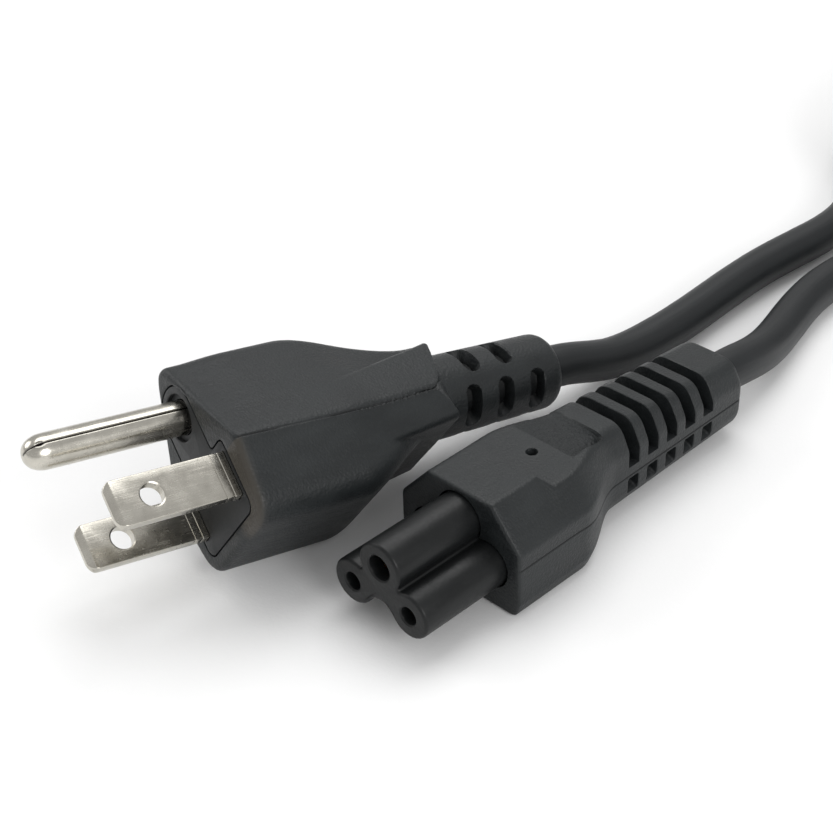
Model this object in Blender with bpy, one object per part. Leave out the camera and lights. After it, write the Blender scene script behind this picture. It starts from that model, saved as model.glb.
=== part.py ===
"""Power cord with a three-pin plug at one end and a cloverleaf connector at the other.

Lengths are in metres and +Z is up. Both ends lie on the surface z = 0. The plug has
its own frame: its face is the plane y = 0, its prongs point along -Y, X runs from
the ground pin to the blades and Z from the neutral blade to the line blade. The
connector has its own frame too: its nose starts at y = 0, its cord leaves along +Y
and z = 0 is its mould seam.
"""
import math

import bmesh
import bpy
from mathutils import Euler, Matrix, Vector

MM = 0.001
COLLECTION_NAME = "cloverleaf_power_cord"

# Clearances
TOUCH_GAP = 0.3 * MM
FLOOR_GAP = 0.02 * MM

# Cord
CORD_DIAMETER = 6.4 * MM
CORD_SPACING = 13.0 * MM

# Plug prongs
BLADE_WIDTH = 6.35 * MM
BLADE_THICKNESS = 1.52 * MM
BLADE_LENGTH = 17.3 * MM
BLADE_CENTRES = 12.7 * MM
BLADE_TIP_CHAMFER = 1.0 * MM
BLADE_HOLE_DIAMETER = 3.18 * MM
BLADE_HOLE_FROM_TIP = 5.8 * MM
PRONG_SEAT_DEPTH = 4.0 * MM
PIN_DIAMETER = 4.75 * MM
PIN_LENGTH = 22.2 * MM
PIN_TIP_LENGTH = 3.0 * MM
PIN_OFFSET = 11.9 * MM
PIN_RECESS_MARGIN = 0.9 * MM
PIN_RECESS_DEPTH = 0.7 * MM

# Plug body
FACE_EDGE_ROUND = 0.9 * MM
FRONT_LENGTH = 16.5 * MM
BLOCK_START = 16.8 * MM
BLOCK_END = 34.5 * MM
BRIDGE_DEPTH = 3.0 * MM
BRIDGE_MARGIN_X = 1.4 * MM
BRIDGE_MARGIN_Z = 0.9 * MM
BRIDGE_CORNER = 1.5 * MM
BRIDGE_STEP_CORNER = 0.8 * MM
BRIDGE_ARM_HALF_WIDTH = 4.2 * MM
PLUG_CORD_X = -5.6 * MM

# Corners of the plug's half outlines, as x, z and corner radius
FRONT_CORNERS = (
    (-19.1 * MM, 2.6 * MM, 2.9 * MM),
    (-3.0 * MM, 11.6 * MM, 2.5 * MM),
    (7.9 * MM, 9.5 * MM, 4.0 * MM),
)
WAIST_CORNERS = (
    (-12.6 * MM, 4.0 * MM, 2.4 * MM),
    (-4.0 * MM, 8.6 * MM, 2.0 * MM),
    (0.6 * MM, 6.2 * MM, 2.4 * MM),
)
BLOCK_START_CORNERS = (
    (-8.0 * MM, 8.7 * MM, 0.8 * MM),
    (-3.0 * MM, 11.3 * MM, 1.6 * MM),
    (3.4 * MM, 9.9 * MM, 1.0 * MM),
)
BLOCK_END_CORNERS = (
    (-11.6 * MM, 7.7 * MM, 1.4 * MM),
    (-3.4 * MM, 10.4 * MM, 1.8 * MM),
    (1.2 * MM, 8.8 * MM, 1.2 * MM),
)

# Plug strain relief
PLUG_RELIEF_END = 58.8 * MM
RELIEF_ROOT = 3.0 * MM
PLUG_RELIEF_RADIUS = 6.2 * MM
PLUG_RELIEF_END_RADIUS = 5.9 * MM
RELIEF_EDGE_ROUND = 1.3 * MM
PLUG_SLOT_WIDTH = 2.4 * MM
PLUG_SLOT_PITCH = 5.9 * MM
PLUG_SLOT_FIRST = 41.6 * MM
SLOT_FLOOR_GAP = 0.8 * MM

# Rows of the plug's slots, as side, count, shift along the cord, first and last angle
PLUG_SLOT_ROWS = (
    (1, 3, 0.0, math.radians(18), math.radians(80)),
    (-1, 2, 1.4 * MM, math.radians(2), math.radians(62)),
)

# Connector insert
NOSE_LENGTH = 14.5 * MM
INSERT_SEAT_DEPTH = 3.0 * MM
PIN_HOLE_CENTRES = 10.0 * MM
SIDE_HOLE_Z = -1.1 * MM
EARTH_HOLE_RISE = 4.9 * MM
SIDE_LOBE_RADIUS = 3.3 * MM
EARTH_LOBE_RADIUS = 3.6 * MM
BOTTOM_VALLEY_Z = -1.5 * MM
SIDE_VALLEY = (2.9 * MM, 1.5 * MM)
SIDE_HOLE_DIAMETER = 2.5 * MM
EARTH_HOLE_DIAMETER = 3.5 * MM
HOLE_LIP = 2.0 * MM
CONTACT_WALL = 0.35 * MM
CONTACT_LENGTH = 9.0 * MM
CONTACT_FIT = 0.1 * MM

# Connector body
CONNECTOR_HALF_WIDTH = 10.6 * MM
CONNECTOR_TOP = 8.4 * MM
CONNECTOR_TOP_HALF_WIDTH = 5.6 * MM
CONNECTOR_BEVEL_Z = 2.7 * MM
CONNECTOR_BOTTOM = 7.5 * MM
CONNECTOR_BOTTOM_BEVEL = (0.8 * MM, 2.2 * MM)
CONNECTOR_EDGE_ROUND = 0.6 * MM
GRIP_DROP = 1.6 * MM
GRIP_START = 23.2 * MM
GRIP_SLOPE_LENGTH = 1.6 * MM
SHOULDER_END = 27.5 * MM
NECK_START = 39.0 * MM
NECK_HALF_WIDTH = 6.4 * MM
NECK_TOP = 7.0 * MM
NECK_TOP_HALF_WIDTH = 4.5 * MM
NECK_BEVEL_Z = 3.2 * MM
NECK_EDGE_ROUND = 1.6 * MM
NECK_BOTTOM = 5.9 * MM
CONNECTOR_RELIEF_BOTTOM = 5.6 * MM
CONNECTOR_RELIEF_END = 68.0 * MM
CONNECTOR_RELIEF_HALF_WIDTH = 6.1 * MM
CONNECTOR_RELIEF_TOP = 4.9 * MM
CONNECTOR_RELIEF_TOP_HALF_WIDTH = 4.3 * MM
CONNECTOR_RELIEF_BEVEL_Z = 1.5 * MM
CONNECTOR_CORD_Z = -0.8 * MM
GROOVE_WIDTH = 2.1 * MM
GROOVE_PITCH = 4.2 * MM
GROOVE_FIRST = 42.6 * MM
GROOVE_COUNT = 5
GROOVE_SEAM_GAP = 0.8 * MM
WINDOW_DEPTH_Z = 2.4 * MM

# Where the two ends lie
PLUG_FACE_PLACE = (-9.04 * MM, -27.66 * MM)
PLUG_TURN = math.radians(-9.2)
PLUG_NOSE_UP = math.radians(-9.0)
PLUG_ROLL = math.radians(33.9)
CONNECTOR_PLACE = (14.72 * MM, -21.25 * MM)

# Long oval coil of the cord's put-away length, in line with the ends, and its tie
COIL_CENTRE = (6.0 * MM, 193.0 * MM)
COIL_RUN = 91.0 * MM
COIL_MEAN_RADIUS = 22.45 * MM
COIL_TURNS_WIDE = 2
COIL_LAYERS = 3
COIL_LAYER_RISE = 6.45 * MM
TIE_WIDTH = 9.0 * MM
TIE_THICKNESS = 0.5 * MM
TIE_FROM_CENTRE = 12.0 * MM

# Points that the cord passes, chosen by hand along its centre line
PLUG_CORD_ROUTE = (
    (-2.4 * MM, 43.7 * MM, 4.3 * MM),
    (-1.8 * MM, 53.7 * MM, 3.4 * MM),
    (-2.0 * MM, 63.7 * MM, 3.2 * MM),
    (-2.6 * MM, 73.7 * MM, 3.2 * MM),
    (-2.9 * MM, 83.7 * MM, 3.2 * MM),
    (-2.4 * MM, 92.7 * MM, 3.2 * MM),
    (-1.9 * MM, 101.5 * MM, 3.2 * MM),
    (-2.5 * MM, 107.8 * MM, 3.2 * MM),
    (-4.4 * MM, 113.8 * MM, 3.2 * MM),
    (-7.12 * MM, 118.4 * MM, 3.2 * MM),
)
CONNECTOR_CORD_ROUTE = (
    (14.4 * MM, 56.5 * MM, 5.5 * MM),
    (12.9 * MM, 64.3 * MM, 3.9 * MM),
    (10.8 * MM, 71.9 * MM, 3.3 * MM),
    (8.9 * MM, 79.7 * MM, 3.2 * MM),
    (8.1 * MM, 88.7 * MM, 3.2 * MM),
    (8.9 * MM, 96.9 * MM, 3.2 * MM),
    (11.4 * MM, 104.5 * MM, 3.2 * MM),
    (15.6 * MM, 111.6 * MM, 3.2 * MM),
    (20.3 * MM, 118.8 * MM, 3.2 * MM),
)

# Mesh fineness
ARC_STEPS = 4
ARC_SHARE = 0.48
LOFT_STEPS = 5
ROUND_STEPS = 28
HOLE_STEPS = 20
COIL_END_STEPS = 16

CORD_RADIUS = CORD_DIAMETER / 2


# Scene helpers
def clear_scene():
    """Remove every object of the file."""
    for item in list(bpy.data.objects):
        bpy.data.objects.remove(item, do_unlink=True)


def new_collection(name):
    """Return a new collection linked to the scene."""
    collection = bpy.data.collections.new(name)
    bpy.context.scene.collection.children.link(collection)
    return collection


def new_material(name, colour, roughness, metallic=0.0):
    """Return a Principled material of one colour."""
    made = bpy.data.materials.new(name)
    made.use_nodes = True
    shader = made.node_tree.nodes["Principled BSDF"]
    shader.inputs["Base Color"].default_value = (*colour, 1.0)
    shader.inputs["Roughness"].default_value = roughness
    shader.inputs["Metallic"].default_value = metallic
    return made


def place(item, collection, made=None, parent=None):
    """Link an object, give it its material and hang it on its end's empty."""
    collection.objects.link(item)
    if made is not None:
        item.data.materials.append(made)
    item.parent = parent
    return item


def new_end(name, collection, location, rotation):
    """Return the empty that carries one end of the cord."""
    empty = bpy.data.objects.new(name, None)
    empty.location = location
    empty.rotation_mode = rotation.order
    empty.rotation_euler = rotation
    collection.objects.link(empty)
    return empty


# Shape helpers
def skin(name, rings):
    """Return a closed object lofted through rings of equally many 3-D points."""
    mesh = bmesh.new()
    rows = [[mesh.verts.new(point) for point in ring] for ring in rings]
    count = len(rows[0])
    for near, far in zip(rows, rows[1:]):
        for index in range(count):
            after = (index + 1) % count
            mesh.faces.new((near[index], near[after], far[after], far[index]))
    mesh.faces.new(rows[0])
    mesh.faces.new(rows[-1])
    bmesh.ops.recalc_face_normals(mesh, faces=mesh.faces)
    data = bpy.data.meshes.new(name)
    mesh.to_mesh(data)
    mesh.free()
    return bpy.data.objects.new(name, data)


def rounded(corners, steps=ARC_STEPS):
    """Return a closed outline whose corners, given as x, z and radius, are arcs.

    An arc takes at most ARC_SHARE of either side of its corner.
    """
    outline = []
    for index, (x, z, radius) in enumerate(corners):
        here = Vector((x, z))
        before = Vector(corners[index - 1][:2]) - here
        after = Vector(corners[(index + 1) % len(corners)][:2]) - here
        half_angle = before.angle(after) / 2
        reach = min(radius / math.tan(half_angle), ARC_SHARE * before.length, ARC_SHARE * after.length)
        before.normalize()
        after.normalize()
        centre = here + (before + after).normalized() * reach / math.cos(half_angle)
        start = here + before * reach - centre
        end = here + after * reach - centre
        sweep = start.angle_signed(end)
        for step in range(steps + 1):
            outline.append(centre + Matrix.Rotation(-sweep * step / steps, 2) @ start)
    return outline


def both_halves(corners):
    """Return the corners of a whole outline from those of its upper half."""
    return list(corners) + [(x, -z, radius) for x, z, radius in reversed(corners)]


def blend(first, second, share):
    """Return corners part of the way from one outline to another."""
    return [tuple(a + (b - a) * share for a, b in zip(*pair)) for pair in zip(first, second)]


def inset(corners, amount):
    """Return half-outline corners moved in towards the outline's middle."""
    middle = (corners[0][0] + corners[-1][0]) / 2
    shrunk = []
    for x, z, radius in corners:
        side = amount if x < middle else -amount
        shrunk.append((x + side * min(1.0, abs(x - middle) / amount), z - amount, radius - amount / 2))
    return shrunk


def smooth_share(value):
    """Return an eased share that starts and ends level."""
    value = min(1.0, max(0.0, value))
    return value * value * (3 - 2 * value)


def at_y(outline, y):
    """Return an x, z outline as 3-D points at one y."""
    return [(point[0], y, point[1]) for point in outline]


def circle(radius, centre, y, steps=ROUND_STEPS):
    """Return the 3-D points of a circle around the Y direction."""
    points = []
    for step in range(steps):
        angle = math.tau * step / steps
        points.append((centre[0] + radius * math.cos(angle), y, centre[1] + radius * math.sin(angle)))
    return points


def turned(name, centre, profile, steps=ROUND_STEPS):
    """Return a round solid along Y from its radius and y values."""
    return skin(name, [circle(radius, centre, y, steps) for radius, y in profile])


def ring_sector(name, centre, radii, span, angles, steps=6):
    """Return a bent bar around the Y direction, its angles counted from +Z towards +X."""
    rings = []
    for step in range(steps + 1):
        angle = angles[0] + (angles[1] - angles[0]) * step / steps
        ring = []
        for radius, y in ((radii[0], span[0]), (radii[1], span[0]), (radii[1], span[1]), (radii[0], span[1])):
            ring.append((centre[0] + radius * math.sin(angle), y, centre[1] + radius * math.cos(angle)))
        rings.append(ring)
    return skin(name, rings)


def box(name, low, high):
    """Return a box between two corners."""
    mesh = bmesh.new()
    bmesh.ops.create_cube(mesh, size=1.0)
    middle = [(a + b) / 2 for a, b in zip(low, high)]
    size = [b - a for a, b in zip(low, high)]
    for vertex in mesh.verts:
        vertex.co = [m + c * s for m, c, s in zip(middle, vertex.co, size)]
    data = bpy.data.meshes.new(name)
    mesh.to_mesh(data)
    mesh.free()
    return bpy.data.objects.new(name, data)


def boolean(target, tool, operation="DIFFERENCE"):
    """Cut a tool out of a target, or join it to the target."""
    modifier = target.modifiers.new(f"{operation.lower()}_{tool.name}", "BOOLEAN")
    modifier.operation = operation
    modifier.solver = "EXACT"
    modifier.object = tool


def use_cutter(target, tool, cutters, operation="DIFFERENCE"):
    """Keep a tool in the cutters' collection and apply it to its target."""
    place(tool, cutters, parent=target.parent)
    tool.hide_render = True
    tool.display_type = "WIRE"
    boolean(target, tool, operation)


def smooth_shade(item):
    """Shade a round piece smooth up to its sharp edges."""
    item.data.shade_smooth()
    item.data.set_sharp_from_angle(angle=math.radians(35))


# Plug
def plug_floor_height():
    """Return the height of the plug's face centre when its lowest corner is on z = 0."""
    rotation = plug_rotation().to_matrix()
    lowest = 0.0
    for x, z in rounded(both_halves(FRONT_CORNERS)):
        for y in (FACE_EDGE_ROUND, FRONT_LENGTH):
            lowest = min(lowest, (rotation @ Vector((x, y, z))).z)
    return FLOOR_GAP - lowest


def plug_rotation():
    """Return the plug's turn, tilt and roll on the surface."""
    return Euler((PLUG_NOSE_UP, PLUG_ROLL, PLUG_TURN), "YXZ")


def make_plug_body(parts, cutters, made, end):
    """Make the moulded body: shield-shaped front, grip block and slotted relief."""
    length = BLOCK_END - FRONT_LENGTH - 2 * TOUCH_GAP
    rings = [
        at_y(rounded(both_halves(inset(FRONT_CORNERS, FACE_EDGE_ROUND))), 0.0),
        at_y(rounded(both_halves(FRONT_CORNERS)), FACE_EDGE_ROUND),
    ]
    for step in range(LOFT_STEPS + 1):
        share = step / LOFT_STEPS
        corners = blend(FRONT_CORNERS, WAIST_CORNERS, smooth_share(share))
        rings.append(at_y(rounded(both_halves(corners)), FRONT_LENGTH + length * share))
    body = place(skin("plug_body", rings), parts, made, end)
    block = skin("plug_block_join", [
        at_y(rounded(both_halves(BLOCK_START_CORNERS)), BLOCK_START),
        at_y(rounded(both_halves(BLOCK_END_CORNERS)), BLOCK_END),
    ])
    use_cutter(body, block, cutters, "UNION")
    relief = turned("plug_relief_join", (PLUG_CORD_X, 0.0), [
        (PLUG_RELIEF_RADIUS, BLOCK_END - RELIEF_ROOT),
        (PLUG_RELIEF_END_RADIUS, PLUG_RELIEF_END - RELIEF_EDGE_ROUND),
        (PLUG_RELIEF_END_RADIUS - RELIEF_EDGE_ROUND, PLUG_RELIEF_END),
    ])
    use_cutter(body, relief, cutters, "UNION")
    cut_plug_slots(body, cutters)
    bridge_hole = skin("bridge_seat_cut", bridge_rings(TOUCH_GAP, -BRIDGE_DEPTH, BRIDGE_DEPTH))
    use_cutter(body, bridge_hole, cutters)
    for sign in (-1, 1):
        seat = box(f"blade_seat_cut_{sign + 1}", *blade_corners(sign, TOUCH_GAP))
        use_cutter(body, seat, cutters)
    use_cutter(body, pin_seat("pin_seat_cut"), cutters)


def pin_seat(name):
    """Return the stepped hole that the ground pin stands in."""
    pin_radius = PIN_DIAMETER / 2
    return turned(name, (-PIN_OFFSET, 0.0), [
        (pin_radius + PIN_RECESS_MARGIN, -PIN_RECESS_DEPTH),
        (pin_radius + PIN_RECESS_MARGIN, PIN_RECESS_DEPTH),
        (pin_radius + TOUCH_GAP, PIN_RECESS_DEPTH),
        (pin_radius + TOUCH_GAP, PRONG_SEAT_DEPTH + TOUCH_GAP),
    ], HOLE_STEPS)


def cut_plug_slots(body, cutters):
    """Cut the relief's two rows of slots, above and below."""
    radii = (CORD_RADIUS + SLOT_FLOOR_GAP, PLUG_RELIEF_RADIUS + RELIEF_EDGE_ROUND)
    for side, count, shift, first, last in PLUG_SLOT_ROWS:
        for index in range(count):
            middle = PLUG_SLOT_FIRST + shift + PLUG_SLOT_PITCH * index
            span = (middle - PLUG_SLOT_WIDTH / 2, middle + PLUG_SLOT_WIDTH / 2)
            for face, base in (("up", 0.0), ("down", math.pi)):
                turn = side if face == "up" else -side
                angles = (base + turn * first, base + turn * last)
                name = f"plug_slot_cut_{face}_{side + 1}_{index}"
                slot = ring_sector(name, (PLUG_CORD_X, 0.0), radii, span, angles)
                use_cutter(body, slot, cutters)


def bridge_rings(grow, start, end):
    """Return the rings of the blade bridge, grown by a clearance, between two y values."""
    right = FRONT_CORNERS[2][0] - FACE_EDGE_ROUND - BRIDGE_MARGIN_X + grow
    step = -BLADE_WIDTH / 2 - BRIDGE_MARGIN_X - grow
    top = BLADE_CENTRES / 2 + BLADE_THICKNESS / 2 + BRIDGE_MARGIN_Z - TOUCH_GAP + grow
    arm = BRIDGE_ARM_HALF_WIDTH + grow
    half = (
        (-PIN_OFFSET - arm, arm, arm),
        (step, arm, BRIDGE_STEP_CORNER - grow),
        (step, top, BRIDGE_STEP_CORNER + grow),
        (right, top, BRIDGE_CORNER + grow),
    )
    outline = rounded(both_halves(half))
    return [at_y(outline, start), at_y(outline, end)]


def blade_corners(sign, grow):
    """Return the corners of the hole that a blade needs behind the plug's face."""
    middle = sign * BLADE_CENTRES / 2
    half_width = BLADE_WIDTH / 2 + grow
    half_thickness = BLADE_THICKNESS / 2 + grow
    low = (-half_width, -BRIDGE_DEPTH, middle - half_thickness)
    high = (half_width, PRONG_SEAT_DEPTH + grow, middle + half_thickness)
    return low, high


def make_blade_bridge(parts, cutters, made, end):
    """Make the rigid insert that shows in the face and carries all three prongs."""
    bridge = place(skin("blade_bridge", bridge_rings(0.0, 0.0, BRIDGE_DEPTH - TOUCH_GAP)), parts, made, end)
    for sign in (-1, 1):
        use_cutter(bridge, box(f"bridge_slot_cut_{sign + 1}", *blade_corners(sign, TOUCH_GAP)), cutters)
    use_cutter(bridge, pin_seat("bridge_pin_cut"), cutters)


def make_blade(name, sign, parts, cutters, made, end):
    """Make one flat blade with its chamfered tip and its hole."""
    middle = sign * BLADE_CENTRES / 2
    half_width = BLADE_WIDTH / 2
    half_thickness = BLADE_THICKNESS / 2
    tip = BLADE_TIP_CHAMFER
    rings = []
    for width, thickness, y in (
        (half_width, half_thickness, PRONG_SEAT_DEPTH),
        (half_width, half_thickness, tip - BLADE_LENGTH),
        (half_width - tip / 2, half_thickness - tip / 2, -BLADE_LENGTH),
    ):
        low, high = middle - thickness, middle + thickness
        rings.append(at_y([(-width, low), (width, low), (width, high), (-width, high)], y))
    blade = place(skin(name, rings), parts, made, end)
    hole = ring_between_faces(f"{name}_hole_cut", BLADE_HOLE_DIAMETER / 2, BLADE_HOLE_FROM_TIP - BLADE_LENGTH,
                              middle - BLADE_THICKNESS, middle + BLADE_THICKNESS)
    use_cutter(blade, hole, cutters)


def ring_between_faces(name, radius, y, low, high):
    """Return an upright cylinder between two heights."""
    rings = []
    for z in (low, high):
        ring = []
        for step in range(HOLE_STEPS):
            angle = math.tau * step / HOLE_STEPS
            ring.append((radius * math.cos(angle), y + radius * math.sin(angle), z))
        rings.append(ring)
    return skin(name, rings)


def make_ground_pin(parts, made, end):
    """Make the round pin, its tip half an ellipse long."""
    radius = PIN_DIAMETER / 2
    profile = [(radius, PRONG_SEAT_DEPTH)]
    for step in range(ARC_STEPS + 2):
        angle = math.pi / 2 * step / (ARC_STEPS + 1.6)
        profile.append((radius * math.cos(angle), PIN_TIP_LENGTH * (1 - math.sin(angle)) - PIN_LENGTH))
    pin = place(turned("ground_pin", (-PIN_OFFSET, 0.0), profile, HOLE_STEPS), parts, made, end)
    smooth_shade(pin)


# Connector
def cloverleaf(grow):
    """Return the three-lobed outline of the insert, grown by a clearance."""
    side = PIN_HOLE_CENTRES / 2
    lobes = (
        ((side, SIDE_HOLE_Z), SIDE_LOBE_RADIUS, -150, 100),
        ((0.0, SIDE_HOLE_Z + EARTH_HOLE_RISE), EARTH_LOBE_RADIUS, -25, 205),
        ((-side, SIDE_HOLE_Z), SIDE_LOBE_RADIUS, 80, 330),
    )
    valleys = (
        (SIDE_VALLEY[0] + grow, SIDE_VALLEY[1] + grow),
        (-SIDE_VALLEY[0] - grow, SIDE_VALLEY[1] + grow),
        (0.0, BOTTOM_VALLEY_Z - grow),
    )
    steps = 2 * ARC_STEPS + 2
    outline = []
    for ((x, z), radius, start, end), valley in zip(lobes, valleys):
        for step in range(steps + 1):
            angle = math.radians(start + (end - start) * step / steps)
            outline.append((x + (radius + grow) * math.cos(angle), z + (radius + grow) * math.sin(angle)))
        outline.append(valley)
    return outline


def socket_places():
    """Return the name, centre and diameter of each pin hole."""
    side = PIN_HOLE_CENTRES / 2
    return (
        ("line", (side, SIDE_HOLE_Z), SIDE_HOLE_DIAMETER),
        ("neutral", (-side, SIDE_HOLE_Z), SIDE_HOLE_DIAMETER),
        ("earth", (0.0, SIDE_HOLE_Z + EARTH_HOLE_RISE), EARTH_HOLE_DIAMETER),
    )


def make_connector_insert(parts, cutters, made, end):
    """Make the cloverleaf insert with its three stepped pin holes."""
    length = NOSE_LENGTH + INSERT_SEAT_DEPTH
    rings = [at_y(cloverleaf(0.0), 0.0), at_y(cloverleaf(0.0), length)]
    insert = place(skin("connector_insert", rings), parts, made, end)
    for name, centre, diameter in socket_places():
        bore = diameter / 2
        chamber = bore + CONTACT_FIT + CONTACT_WALL + TOUCH_GAP
        hole = turned(f"{name}_hole_cut", centre, [
            (bore, -HOLE_LIP),
            (bore, HOLE_LIP),
            (chamber, HOLE_LIP),
            (chamber, HOLE_LIP + CONTACT_LENGTH + 2 * TOUCH_GAP),
        ], HOLE_STEPS)
        use_cutter(insert, hole, cutters)


def make_contacts(parts, cutters, made, end):
    """Make the sleeve contact in each pin hole."""
    for name, centre, diameter in socket_places():
        bore = diameter / 2 + CONTACT_FIT
        start = HOLE_LIP + TOUCH_GAP
        outer = [(bore + CONTACT_WALL, start), (bore + CONTACT_WALL, start + CONTACT_LENGTH)]
        sleeve = place(turned(f"{name}_contact", centre, outer, HOLE_STEPS), parts, made, end)
        inner = [(bore, start - HOLE_LIP), (bore, start + CONTACT_LENGTH + HOLE_LIP)]
        use_cutter(sleeve, turned(f"{name}_contact_bore_cut", centre, inner, HOLE_STEPS), cutters)
        smooth_shade(sleeve)


def connector_corners(half_width, top, top_half_width, bevel_z, bottom, radius):
    """Return the corners of one cross-section of the connector's body."""
    bevel_width, bevel_height = CONNECTOR_BOTTOM_BEVEL
    right = [
        (top_half_width, top, radius),
        (half_width, bevel_z, radius),
        (half_width, bevel_height - bottom, radius),
        (half_width - bevel_width, -bottom, radius),
    ]
    return right + [(-x, z, r) for x, z, r in reversed(right)]


def make_connector_body(parts, cutters, made, end):
    """Make the faceted body with its narrowing neck and grooved relief."""
    full = (CONNECTOR_HALF_WIDTH, CONNECTOR_TOP, CONNECTOR_TOP_HALF_WIDTH,
            CONNECTOR_BEVEL_Z, CONNECTOR_BOTTOM, CONNECTOR_EDGE_ROUND)
    grip = (CONNECTOR_HALF_WIDTH, CONNECTOR_TOP - GRIP_DROP, CONNECTOR_TOP_HALF_WIDTH + GRIP_DROP,
            CONNECTOR_BEVEL_Z, CONNECTOR_BOTTOM, CONNECTOR_EDGE_ROUND)
    neck = (NECK_HALF_WIDTH, NECK_TOP, NECK_TOP_HALF_WIDTH, NECK_BEVEL_Z, NECK_BOTTOM, NECK_EDGE_ROUND)
    tail = (CONNECTOR_RELIEF_HALF_WIDTH, CONNECTOR_RELIEF_TOP, CONNECTOR_RELIEF_TOP_HALF_WIDTH,
            CONNECTOR_RELIEF_BEVEL_Z, CONNECTOR_RELIEF_BOTTOM, NECK_EDGE_ROUND)
    stations = [(NOSE_LENGTH, full), (GRIP_START, full), (GRIP_START + GRIP_SLOPE_LENGTH, grip)]
    for step in range(LOFT_STEPS + 1):
        share = step / LOFT_STEPS
        eased = smooth_share(share)
        stations.append((SHOULDER_END + (NECK_START - SHOULDER_END) * share,
                         tuple(a + (b - a) * eased for a, b in zip(grip, neck))))
    stations.append((CONNECTOR_RELIEF_END - RELIEF_EDGE_ROUND, tail))
    end_share = tuple(value - RELIEF_EDGE_ROUND for value in tail[:3])
    stations.append((CONNECTOR_RELIEF_END, (*end_share, tail[3] - RELIEF_EDGE_ROUND / 2,
                                            tail[4] - RELIEF_EDGE_ROUND, tail[5])))
    rings = [at_y(rounded(connector_corners(*section), 2), y) for y, section in stations]
    body = place(skin("connector_body", rings), parts, made, end)
    seat = skin("insert_seat_cut", [
        at_y(cloverleaf(TOUCH_GAP), 0.0),
        at_y(cloverleaf(TOUCH_GAP), NOSE_LENGTH + INSERT_SEAT_DEPTH + TOUCH_GAP),
    ])
    use_cutter(body, seat, cutters)
    cut_connector_grooves(body, cutters)


def cut_connector_grooves(body, cutters):
    """Cut the grooves over the relief's top and the windows under its seam."""
    core = CORD_RADIUS + SLOT_FLOOR_GAP
    reach = NECK_HALF_WIDTH + NECK_BOTTOM
    half_turn = math.pi / 2 - GROOVE_SEAM_GAP / core
    for index in range(GROOVE_COUNT):
        middle = GROOVE_FIRST + GROOVE_PITCH * index
        span = (middle - GROOVE_WIDTH / 2, middle + GROOVE_WIDTH / 2)
        groove = ring_sector(f"groove_cut_{index}", (0.0, CONNECTOR_CORD_Z), (core, reach), span,
                             (-half_turn, half_turn), 12)
        use_cutter(body, groove, cutters)
        for sign in (-1, 1):
            outer = sign * reach
            inner = sign * core
            low = (min(inner, outer), span[0], CONNECTOR_CORD_Z - GROOVE_SEAM_GAP - WINDOW_DEPTH_Z)
            high = (max(inner, outer), span[1], CONNECTOR_CORD_Z - GROOVE_SEAM_GAP)
            use_cutter(body, box(f"window_cut_{index}_{sign + 1}", low, high), cutters)


# Cord
def smooth_route(points):
    """Return evenly spaced points on a smooth curve through the route's points."""
    path = [Vector(point) for point in points]
    ends = [2 * path[0] - path[1]] + path + [2 * path[-1] - path[-2]]
    fine = []
    for index in range(len(path) - 1):
        before, start, stop, after = ends[index:index + 4]
        for step in range(16):
            t = step / 16
            fine.append(0.5 * (2 * start + (stop - before) * t + (2 * before - 5 * start + 4 * stop - after) * t * t
                               + (3 * start - before - 3 * stop + after) * t ** 3))
    fine.append(path[-1])
    travelled = [0.0]
    for first, second in zip(fine, fine[1:]):
        travelled.append(travelled[-1] + (second - first).length)
    count = max(2, round(travelled[-1] / CORD_SPACING) + 1)
    even = []
    position = 0
    for index in range(count):
        wanted = travelled[-1] * index / (count - 1)
        while position < len(fine) - 2 and travelled[position + 1] < wanted:
            position += 1
        span = travelled[position + 1] - travelled[position]
        even.append(fine[position].lerp(fine[position + 1], (wanted - travelled[position]) / span))
    return even


def make_cord(name, leaving, points, parts, made):
    """Make one plain length of cord as a bevelled curve that leaves its relief straight."""
    route = [leaving[0], *smooth_route((leaving[1], *points))]
    data = bpy.data.curves.new(name, "CURVE")
    data.dimensions = "3D"
    data.bevel_depth = CORD_RADIUS
    data.bevel_resolution = 3
    data.use_fill_caps = True
    spline = data.splines.new("POLY")
    spline.points.add(len(route) - 1)
    for point, place_at in zip(spline.points, route):
        point.co = (*place_at, 1.0)
    place(bpy.data.objects.new(name, data), parts, made)


def cord_leaves(end, exit_y, centre):
    """Return two points where a cord leaves its relief, straight out of it."""
    matrix = Matrix.LocRotScale(end.location, end.rotation_euler, None)
    near = matrix @ Vector((centre[0], exit_y + TOUCH_GAP, centre[1]))
    far = matrix @ Vector((centre[0], exit_y + CORD_RADIUS, centre[1]))
    return near, far


def coil_section():
    """Return the coil's half width, low z and high z."""
    half_width = COIL_TURNS_WIDE * (CORD_DIAMETER + TOUCH_GAP / 2) / 2
    low = TIE_THICKNESS + TOUCH_GAP + FLOOR_GAP
    return half_width, low, low + CORD_DIAMETER + (COIL_LAYERS - 1) * COIL_LAYER_RISE


def ring_form(name, rings):
    """Return a closed ring-shaped object through rings of equally many 3-D points."""
    mesh = bmesh.new()
    rows = [[mesh.verts.new(point) for point in ring] for ring in rings]
    for near, far in zip(rows, rows[1:] + rows[:1]):
        for index in range(len(near)):
            after = (index + 1) % len(near)
            mesh.faces.new((near[index], near[after], far[after], far[index]))
    bmesh.ops.recalc_face_normals(mesh, faces=mesh.faces)
    data = bpy.data.meshes.new(name)
    mesh.to_mesh(data)
    mesh.free()
    return bpy.data.objects.new(name, data)


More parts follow.
